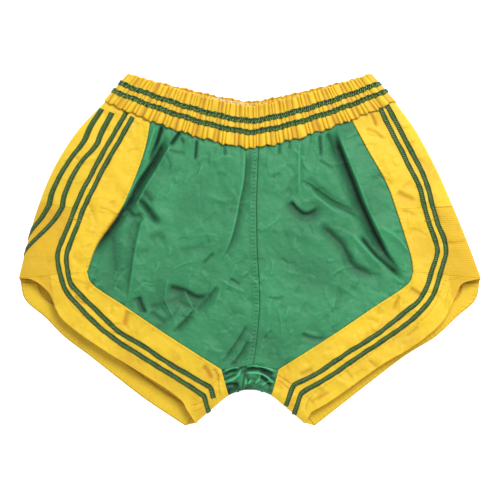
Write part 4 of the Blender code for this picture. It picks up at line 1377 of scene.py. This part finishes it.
def front_braid(word, order):
    """A braid carried along its path on the front: the width straight across, the edges a little
    uneven, and a low crown over the middle."""
    middle = along(braid_path(word, order, 12), np.linspace(0, 0.993, 560))
    heading = np.pad(unit(np.gradient(middle, axis=0)), ((4, 4), (0, 0)), mode="edge")
    smooth = [np.convolve(part, np.ones(9) / 9, "valid") for part in heading.T]
    out = unit(np.stack([-smooth[1], smooth[0]], axis=1))
    gone = travelled(middle)
    uneven = 1 + 0.05 * np.sin(gone / 0.0031 + 1.4 * np.sin(gone / 0.017)) + 0.04 * np.sin(gone / 0.0089)
    sway = 0.25 * MM * np.sin(gone / 0.013) + 0.15 * MM * np.sin(gone / 0.0047)
    across = np.linspace(-0.5, 0.5, 11)
    wide = across[None, :] * sizes().braid_width * uneven[:, None] + sway[:, None]
    plan = middle[:, None] + out[:, None] * wide[..., None]
    crown = 0.16 * MM * (1 - (2 * across[None, :]) ** 2)
    knob = 0.04 * MM * np.sin(gone * 2 * np.pi / 0.0030)[:, None] * np.cos(across * np.pi)[None, :]
    return draped(plan, FRONT, BRAID_STAND + crown + knob)


def back_braid(word, order):
    """A braid of the back, its middle so many millimetres along each row from the back seam.

    Where the rows meet the seam at a slant, the distance and the width grow by 1 / sine.
    """
    side = SIDES[word]
    number = ("inner", "outer").index(order)
    t = np.concatenate([np.linspace(0.07, 1, 330), 1 + np.linspace(0, 1, 230)[1:],
                        np.linspace(2, 2.88, 40)[1:]])
    wrap, layers = side_wrap(side, t[t <= 1], steps=34, arc_steps=16)
    wrap, layers = wrap[:, ::-1], layers[:, ::-1]
    start, end = side.seam(BACK, t[t > 1]), side.edge(BACK, t[t > 1])
    leg = rows(start, end, np.linspace(0, 1, wrap.shape[1]))
    plan = np.concatenate([wrap, leg])
    layers = np.concatenate([layers, np.full(leg.shape[:-1], BACK)])
    path = side.seam(BACK, t)
    heading = np.gradient(path, axis=0)
    row = side.edge(BACK, t) - path
    turn = np.abs(heading[:, 0] * row[:, 1] - heading[:, 1] * row[:, 0])
    skew = np.clip(turn / (np.linalg.norm(heading, axis=1) * np.linalg.norm(row, axis=1)), 0.85, 1)
    insets = [WAIST_TAPE_INSET, TAPE_INSET, TAPE_INSET, INNER_TAPE_INSET]
    first = np.interp(t, [0, 0.3, 1.8, 2], insets)
    pitch = np.interp(t, [0, 0.3], [WAIST_TAPE_PITCH, TAPE_PITCH])
    middles = (first + number * pitch) / skew
    plan = place(side, plan)
    points, normals, roll = common_surface(plan, layers)
    height = relief(plan, layers, roll) + BRAID_STAND + 0.1 * MM
    across = np.linspace(-0.5, 0.5, 9)
    wanted = middles[:, None] + across[None, :] * (sizes().braid_width / skew)[:, None]
    return at_distance(points + normals * height[..., None], travel(points), wanted)


# --- the waistband ---

def ring_plan(columns, heights, wave=0.0):
    """Plan points and layers round the waistband: the front from the wearer's right to the left,
    then the back. Columns gather towards the side folds as 1 - cos of the turn."""
    half = WAIST_HALF + BAND_FLARE / 2
    arc = max(6, columns // 40)
    turn = np.linspace(0, np.pi / 2, arc + 1)
    end = 1 - SIDE_ROLL / half
    right_end = -1 + SIDE_ROLL * (1 - np.cos(turn)) / half
    level = np.linspace(-end, end, columns // 2 - 2 * arc)
    front = np.concatenate([right_end[:-1], level, -right_end[::-1][1:]])
    share = np.concatenate([front, front[::-1][1:-1]])
    layers = np.concatenate([np.full(len(front), FRONT), np.full(len(front) - 2, BACK)])
    back = (layers < 0)[None, :] * 1.0
    plan = band_point(share[None, :], heights[:, None] + wave, back)
    return plan, np.broadcast_to(layers, plan.shape[:-1])


def pleat_angle(columns_plan):
    """Angle round the ring from 0 to 2 pi, even in distance along the cloth."""
    gone = travelled(np.vstack([columns_plan, columns_plan[:1]]))
    return gone[:-1] / gone[-1] * 2 * np.pi


def pleats(angle, height):
    """Height of the pleats, and their phase: |sin(phase / 2)| ** 0.8, the phase and size uneven.

    They lean a little to one side or the other from the bottom of the band to its top.
    """
    lean = 1.5 * np.sin(17 * angle + 1) + 1.3 * np.sin(41 * angle)
    phase = (sizes().pleats * angle + 1.9 * np.sin(7 * angle + 0.4) + 1.3 * np.sin(19 * angle + 1.1)
             + 1.0 * np.sin(33 * angle + 2.0) + 0.7 * np.sin(57 * angle))
    phase = phase[None, :] + lean[None, :] * (height[:, None] - 0.5)
    crest = np.abs(np.sin(phase / 2)) ** 0.8
    size = 0.80 + 0.28 * np.sin(29 * angle + 0.7) + 0.22 * np.sin(53 * angle + 2.2)
    return crest * size[None, :], phase


def held_share(height):
    """How freely the band's cloth can pleat at a height: 1 at the lower edge, little at the braids."""
    knots = [0.0, 0.20, 0.31, 0.385, 0.47, 0.52, 0.57, 0.655, 0.73, 0.86, 1.0, 1.1]
    free = [1.0, 0.80, 0.45, 0.28, 0.40, 0.50, 0.40, 0.28, 0.45, 0.75, 0.90, 0.9]
    return np.interp(height, knots, free)


def band_grid(columns, heights, stands, edge_wave=0.0):
    """Points of a ring of the waistband: pleats of their full depth times the share that is free.

    The front also swells and ripples between its edges. The loose edges wander up and down with the
    pleats, by edge_wave of the band's height.
    """
    level, _ = ring_plan(columns, np.array([0.5]))
    angle = pleat_angle(level[0])
    crest, phase = pleats(angle, heights)
    loose = np.clip(1 - heights / 0.28, 0, 1) + 0.6 * np.clip((heights - 0.86) / 0.14, 0, 1)
    wave = edge_wave * loose[:, None] * (np.sin(phase / 2 + 0.6) + 0.8 * np.sin(23 * angle)[None, :])
    plan, layers = ring_plan(columns, heights, wave)
    points, normal, roll = common_surface(plan, layers)
    depth = sizes().pleat_depth * held_share(heights)[:, None] * (crest - 0.45)
    depth = np.where(layers > 0, depth, np.minimum(depth, 0.3 * MM)) * (0.35 + 0.65 * roll)
    swell = 0.5 * MM * np.sin(31 * angle)[None, :] * np.sin(np.pi * np.clip(heights, 0, 1))[:, None]
    rough = ripple(plan * (1, 0.6), "band") * np.sqrt(held_share(heights))[:, None]
    swell = (swell + 0.32 * MM * rough) * (layers > 0)
    grid = points + normal * (depth + swell + stands[:, None])[..., None]
    return grid, crest, plan, layers


def waistband_casing():
    """The gathered gold casing: up the outside, round the top edge and a little way down inside."""
    outside = np.linspace(0, 0.985, 30)
    over = np.linspace(0.2, np.pi, 6)
    heights = np.concatenate([[0.012], outside, 0.985 + 0.03 * np.sin(over), [0.955]])
    inside = FACING_STAND + 0.5 * MM
    centre, reach = (CASING_STAND + inside) / 2, (CASING_STAND - inside) / 2
    stands = np.concatenate([[CASING_STAND - 0.8 * MM], np.full(30, CASING_STAND),
                             centre + reach * np.cos(over), [inside]])
    grid, crest, plan, _ = band_grid(BAND_COLUMNS, heights, stands, 0.022)
    free = held_share(heights)[:, None]
    # Painted shade: deep in the pleats' valleys, less where the braids hold them, in rolling patches, and
    # on the inside of the casing
    shade = np.clip(1 - crest * 1.35, 0, 1) ** 1.3 * (0.70 + 0.30 * free)
    shade = np.maximum(shade, 0.30 * np.clip(ripple(plan * (1, 0.5), "band shade"), 0, 1))
    shade = np.maximum(shade, (stands < 0)[:, None] * 0.45)
    return sheet("waistband_casing", grid, "gold_satin", shade=shade, ring=True), grid


def waistband_facing():
    """The gold lining of the waistband. Threads of the elastic fray out of the back's top edge."""
    heights = np.linspace(0.04, 0.965, 22)
    grid, crest, plan, layers = band_grid(900, heights, np.full(22, FACING_STAND))
    # Painted shade on the lining, deeper in the pleats' valleys
    shade = np.clip(0.9 - crest * 1.3, 0.12, 0.9) * 0.8
    x = plan[..., 0]
    spots = np.exp(-((x + 0.022) / 0.030) ** 4) * ease((heights - 0.72) / 0.12)[:, None]
    fray = np.where(layers < 0, spots, 0.0)
    return sheet("waistband_facing", grid, "gold_satin", shade=shade, fray=fray, ring=True), grid


def waist_elastic():
    """The woven elastic inside the casing."""
    low = CAUGHT + MM / BAND_HEIGHT
    heights = np.linspace(low, low + 0.035 / BAND_HEIGHT, 12)
    grid = band_grid(700, heights, np.zeros(12))[0]
    return sheet("waist_elastic", grid, "white_elastic", 0.9 * MM, ring=True), grid


def waist_braid(word, middle):
    """A braid round the waistband, and its painted shade: it rides on the pleats, and bunches into knots
    as |sin(phase / 2)| ** 0.7, with painted shadow in the gaps between them, most of all along its
    lower edge."""
    half = 1.14 * sizes().braid_width / BAND_HEIGHT / 2
    across = np.linspace(-1, 1, 9)
    stands = np.full(9, CASING_STAND + WAIST_BRAID_STAND)
    grid, _, plan, layers = band_grid(BAND_COLUMNS, middle + half * across, stands)
    normal = common_surface(plan, layers)[1]
    level, _ = ring_plan(BAND_COLUMNS, np.array([0.5]))
    angle = pleat_angle(level[0])
    start, drift = (0.8, 1.0) if word == "upper" else (2.1, 2.6)
    phase = WAIST_KNOBS * angle + 1.6 * np.sin(13 * angle) + 1.1 * np.sin(37 * angle + start)
    knob = np.abs(np.sin(phase / 2)) ** 0.7 - 0.4
    lift = 1.0 * MM * knob[None, :] * np.cos(across * 1.25)[:, None]
    wander = 0.55 * MM * np.sin(phase / 2 + 1)[None, :] * across[:, None]
    sway = 0.5 * MM * np.sin(21 * angle + drift)[None, :]
    lift = np.where(layers > 0, lift, np.minimum(lift, 0.0))
    grid = grid + normal * lift[..., None]
    grid[..., 1] += wander + sway
    # Painted shadow in the gaps between the knots, deepest along the lower edge
    gap_shadow = np.clip(1.45 - 1.80 * (knob + 0.4), 0, 1)
    return grid, gap_shadow[None, :] * np.linspace(1.0, 0.62, 9)[:, None]


# --- thread ---

# Pitch, length, width and lift of the bars across the centre seam and of the tacks at the hips
BAR_THREAD = (0.0050, 0.0050, 0.0006, 0.85 * MM)
TACK_THREAD = (0.0045, 0.0052, 0.0007, 1.9 * MM)

# A stitch of length and width 1: two tips, and a square ring of four corners near each of them
STITCH_ENDS = 0.32
RING = [(-0.5, 0), (0, 0.5), (0.5, 0), (0, -0.5)]
STITCH_TEMPLATE = np.array([(-0.5, 0, 0)] + [(x, *corner) for x in (-STITCH_ENDS, STITCH_ENDS)
                                             for corner in RING] + [(0.5, 0, 0)])
STITCH_FACES = ([(0, 2, 1), (0, 3, 2), (0, 4, 3), (0, 1, 4), (9, 5, 6), (9, 6, 7), (9, 7, 8), (9, 8, 5)]
                + [(1, 2, 6, 5), (2, 3, 7, 6), (3, 4, 8, 7), (4, 1, 5, 8)])


def stitches(middles, ways, ups, length, width):
    """Points of short threads, one at each middle: a spindle of the given length and width."""
    ways = unit(ways)
    sides = unit(np.cross(ups, ways))
    t = STITCH_TEMPLATE
    return (middles[:, None] + ways[:, None] * (t[None, :, :1] * length)
            + sides[:, None] * (t[None, :, 1:2] * width) + ups[:, None] * (t[None, :, 2:] * width * 0.8))


def stitch_line(path, layer, pitch, length, width, lift, turned=0.0):
    """Threads along a plan path at an even pitch, turned from the path's way by an angle."""
    steps = np.linalg.norm(np.diff(path, axis=0), axis=1).sum()
    count = max(2, int(steps / pitch))
    shares = (np.arange(count) + 0.5) / count
    middle, ahead = along(path, shares), along(path, shares + 0.002)
    way = ahead - middle
    way = np.stack([way[:, 0] * np.cos(turned) - way[:, 1] * np.sin(turned),
                    way[:, 0] * np.sin(turned) + way[:, 1] * np.cos(turned)], axis=1)
    way = way / np.maximum(np.linalg.norm(way, axis=1), 1e-9)[:, None]
    normal = common_surface(middle, layer)[1]
    ends = [draped(middle + way * length * half, layer, lift) for half in (-0.5, 0.5)]
    centre = (draped(middle, layer, lift) + (ends[0] + ends[1]) / 2) / 2
    return stitches(centre, ends[1] - ends[0], normal, length, width)


def thread_piece(name, lines, finish_name):
    """One piece of many threads."""
    points = np.concatenate(lines)
    first = np.arange(len(points))[:, None] * len(STITCH_TEMPLATE)
    faces = [row for face in STITCH_FACES for row in (first + np.array(face)).tolist()]
    mesh = bpy.data.meshes.new(name)
    mesh.from_pydata(points.reshape(-1, 3).tolist(), [], faces)
    mesh.validate()
    mesh.shade_smooth()
    return piece(name, mesh, finish(finish_name))


def beside(path, distance):
    """A path moved sideways, to its left for a positive distance."""
    way = unit(np.gradient(path, axis=0))
    return path + np.stack([-way[:, 1], way[:, 0]], axis=1) * distance


def centre_threads():
    """Bars across the felled centre seam, and a run of stitches beside them."""
    stitch = sizes().stitch
    y = np.linspace(0.126, -0.140, 80)
    felled = np.stack([seam_shift(y) - 0.0042, y], axis=1)
    beyond = np.stack([seam_shift(y) - 0.0082, y], axis=1)
    return [stitch_line(felled, FRONT, *BAR_THREAD, np.pi / 2),
            stitch_line(beyond, FRONT, stitch * 1.25, stitch, 0.0004, 0.75 * MM)]


def hem_threads(word):
    """The stitches that hold the turned-in hems of one leg."""
    side, stitch = SIDES[word], sizes().stitch
    t = np.linspace(1.02, 1.985, 160)
    made = []
    for layer, lift in ((FRONT, 0.30 * MM), (BACK, HEM_STAND - 0.45 * MM)):
        start, end = side.seam(layer, t), side.edge(layer, t)
        hem = place(side, end - unit(end - start) * HEM_STITCH)
        made.append(stitch_line(hem, layer, stitch * 1.2, stitch, 0.00045, lift))
    return made


def join_threads(word):
    """The stitches at the top of the ribbed gusset on the wearer's left, and at its foot on both."""
    side, stitch = SIDES[word], sizes().stitch
    foot = np.array([(0.2535, -0.046), (0.250, -0.060), (0.2475, -0.078)]) * (side.sign, 1)
    made = [stitch_line(spline(foot), FRONT, stitch * 1.2, stitch, 0.0005, 0.30 * MM)]
    if word == "left":
        hip = np.array([HIP_JOIN])
        join = rows(side.seam(FRONT, hip), side.edge(FRONT, hip), np.linspace(0.66, 0.96, 30))[0]
        made.append(stitch_line(join, FRONT, stitch * 1.1, stitch, 0.0005, 0.25 * MM))
    return made


def braid_threads(word):
    """The stitches along both edges of one leg's front braids."""
    stitch = sizes().stitch
    edge = sizes().braid_width / 2 - 0.5 * MM
    return [stitch_line(beside(braid_path(word, order), hand * edge), FRONT,
                        stitch, stitch * 0.8, 0.00035, 1.35 * MM)
            for order in ("inner", "outer") for hand in (-1, 1)]


# --- operators ---

class SHORTS_OT_green_body(bpy.types.Operator):
    """Makes the four green panels"""
    bl_idname = "shorts.green_body"
    bl_label = "Green Panels"

    def execute(self, context):
        for word in SIDES:
            body_panel(word, BACK)
            body_panel(word, FRONT)
        return {"FINISHED"}


class SHORTS_OT_green_seams(bpy.types.Operator):
    """Makes the centre seams and the crotch gusset"""
    bl_idname = "shorts.green_seams"
    bl_label = "Centre Seams and Crotch Gusset"

    def execute(self, context):
        centre_seam(FRONT)
        centre_seam(BACK)
        crotch_gusset()
        return {"FINISHED"}


class SHORTS_OT_gold_sides(bpy.types.Operator):
    """Makes the gold side panels and the ribbed side gussets"""
    bl_idname = "shorts.gold_sides"
    bl_label = "Side Panels and Gussets"

    def execute(self, context):
        for word in SIDES:
            side_piece(word, "side_panel", np.linspace(0, HIP_JOIN, 130), False)
            side_piece(word, "side_gusset", np.linspace(HIP_JOIN, 1, 90), True)
        return {"FINISHED"}


class SHORTS_OT_leg_borders(bpy.types.Operator):
    """Makes the gold leg borders with their turned-in hems and the braids on them"""
    bl_idname = "shorts.leg_borders"
    bl_label = "Leg Borders, Hems and Braids"

    def execute(self, context):
        for word in SIDES:
            for layer, braid in ((FRONT, front_braid), (BACK, back_braid)):
                border, grid = leg_border(word, layer)
                going = [hem_facing(word, layer)]
                for order in ("inner", "outer"):
                    strip = braid(word, order)
                    name = f"leg_tape_{order}_{NAMES[layer]}_{word}"
                    dark = edge_dark(*strip.shape[:2], 0.75)
                    going.append(sheet(name, strip, "green_braid", sizes().braid, shade=dark, word="braid"))
                declare(grid)
        return {"FINISHED"}


class SHORTS_OT_waistband(bpy.types.Operator):
    """Makes the gathered waistband with its lining, elastic and two braids"""
    bl_idname = "shorts.waistband"
    bl_label = "Waistband"

    def execute(self, context):
        casing, grid = waistband_casing()
        lining, lining_grid = waistband_facing()
        elastic, elastic_grid = waist_elastic()
        for word, middle in zip(("lower", "upper"), WAIST_TAPE_SPAN):
            strip, dark = waist_braid(word, middle)
            sheet(f"waist_tape_{word}", strip, "green_braid", sizes().braid,
                               "waist_braid", dark, ring=True, word="braid")
        declare(grid, ring=True)
        declare(lining_grid, ring=True)
        declare(elastic_grid, ring=True)
        return {"FINISHED"}


class SHORTS_OT_stitching(bpy.types.Operator):
    """Makes the threads that show: along the centre seam, the braids, the hems and the joins"""
    bl_idname = "shorts.stitching"
    bl_label = "Stitching"

    def execute(self, context):
        thread_piece("centre_seam_thread", centre_threads(), "green_thread")
        gold, green = [], []
        for word in SIDES:
            gold += hem_threads(word) + join_threads(word)
            green += braid_threads(word)
        for crossing in TACKS:
            gold.append(stitch_line(np.array(crossing) * MM, FRONT, *TACK_THREAD))
        thread_piece("gold_seam_thread", gold, "gold_thread")
        thread_piece("braid_thread", green, "green_thread")
        return {"FINISHED"}


class SHORTS_OT_stage(bpy.types.Operator):
    """Makes the floor, the lights and the camera straight above"""
    bl_idname = "shorts.stage"
    bl_label = "Stage"

    def execute(self, context):
        scene = context.scene
        settings = scene.shorts_stage
        mesh = bpy.data.meshes.new("floor")
        corners = [(x * FLOOR_REACH, y * FLOOR_REACH, FLOOR_HEIGHT)
                   for x, y in ((-1, -1), (1, -1), (1, 1), (-1, 1))]
        mesh.from_pydata(corners, [], [(0, 1, 2, 3)])
        mesh.materials.append(finish("floor"))
        floor = bpy.data.objects.new("floor", mesh)
        scene.collection.objects.link(floor)
        world = bpy.data.worlds.new("soft_room")
        scene.world = world
        world.use_nodes = True
        sky = world.node_tree.nodes["Background"]
        sky.inputs["Color"].default_value = (1, 1, 1, 1)
        sky.inputs["Strength"].default_value = settings.fill
        lamp = bpy.data.lights.new("soft_box", "AREA")
        lamp.shape = "SQUARE"
        lamp.size = LAMP_SIZE
        lamp.energy = settings.key
        key = bpy.data.objects.new("soft_box", lamp)
        key.location = LAMP_PLACE
        aim = -key.location.normalized()
        key.rotation_euler = aim.to_track_quat("-Z", "Y").to_euler()
        scene.collection.objects.link(key)
        data = bpy.data.cameras.new("above")
        data.lens = settings.lens
        data.sensor_width = SENSOR
        camera = bpy.data.objects.new("above", data)
        camera.location = (0, 0, LOFT + settings.frame_width * settings.lens / SENSOR)
        scene.collection.objects.link(camera)
        scene.camera = camera
        scene.view_settings.view_transform = "Standard"
        return {"FINISHED"}


class SHORTS_PT_sidebar(bpy.types.Panel):
    """The parts of the shorts and their settings"""
    bl_idname = "SHORTS_PT_sidebar"
    bl_label = "Boxing Shorts"
    bl_space_type = "VIEW_3D"
    bl_region_type = "UI"
    bl_category = "Shorts"

    def draw(self, context):
        layout = self.layout
        for operator in OPERATORS:
            layout.operator(operator.bl_idname)
        for name in ("shorts_sizes", "shorts_colours", "shorts_stage"):
            group = getattr(context.scene, name)
            for key in group.__annotations__:
                layout.prop(group, key)


GROUPS = {"shorts_sizes": SHORTS_PG_sizes, "shorts_colours": SHORTS_PG_colours,
          "shorts_stage": SHORTS_PG_stage}
OPERATORS = [SHORTS_OT_stage, SHORTS_OT_green_body, SHORTS_OT_green_seams, SHORTS_OT_gold_sides,
             SHORTS_OT_leg_borders, SHORTS_OT_waistband, SHORTS_OT_stitching]


def register():
    for group in GROUPS.values():
        bpy.utils.register_class(group)
    for name, group in GROUPS.items():
        setattr(bpy.types.Scene, name, PointerProperty(type=group))
    for operator in OPERATORS:
        bpy.utils.register_class(operator)
    bpy.utils.register_class(SHORTS_PT_sidebar)


def unregister():
    bpy.utils.unregister_class(SHORTS_PT_sidebar)
    for operator in reversed(OPERATORS):
        bpy.utils.unregister_class(operator)
    for name, group in GROUPS.items():
        delattr(bpy.types.Scene, name)
        bpy.utils.unregister_class(group)


def main():
    """Makes everything."""
    register()
    bpy.ops.shorts.stage()
    bpy.ops.shorts.green_body()
    bpy.ops.shorts.green_seams()
    bpy.ops.shorts.gold_sides()
    bpy.ops.shorts.leg_borders()
    bpy.ops.shorts.waistband()
    bpy.ops.shorts.stitching()


if __name__ == "__main__":
    main()
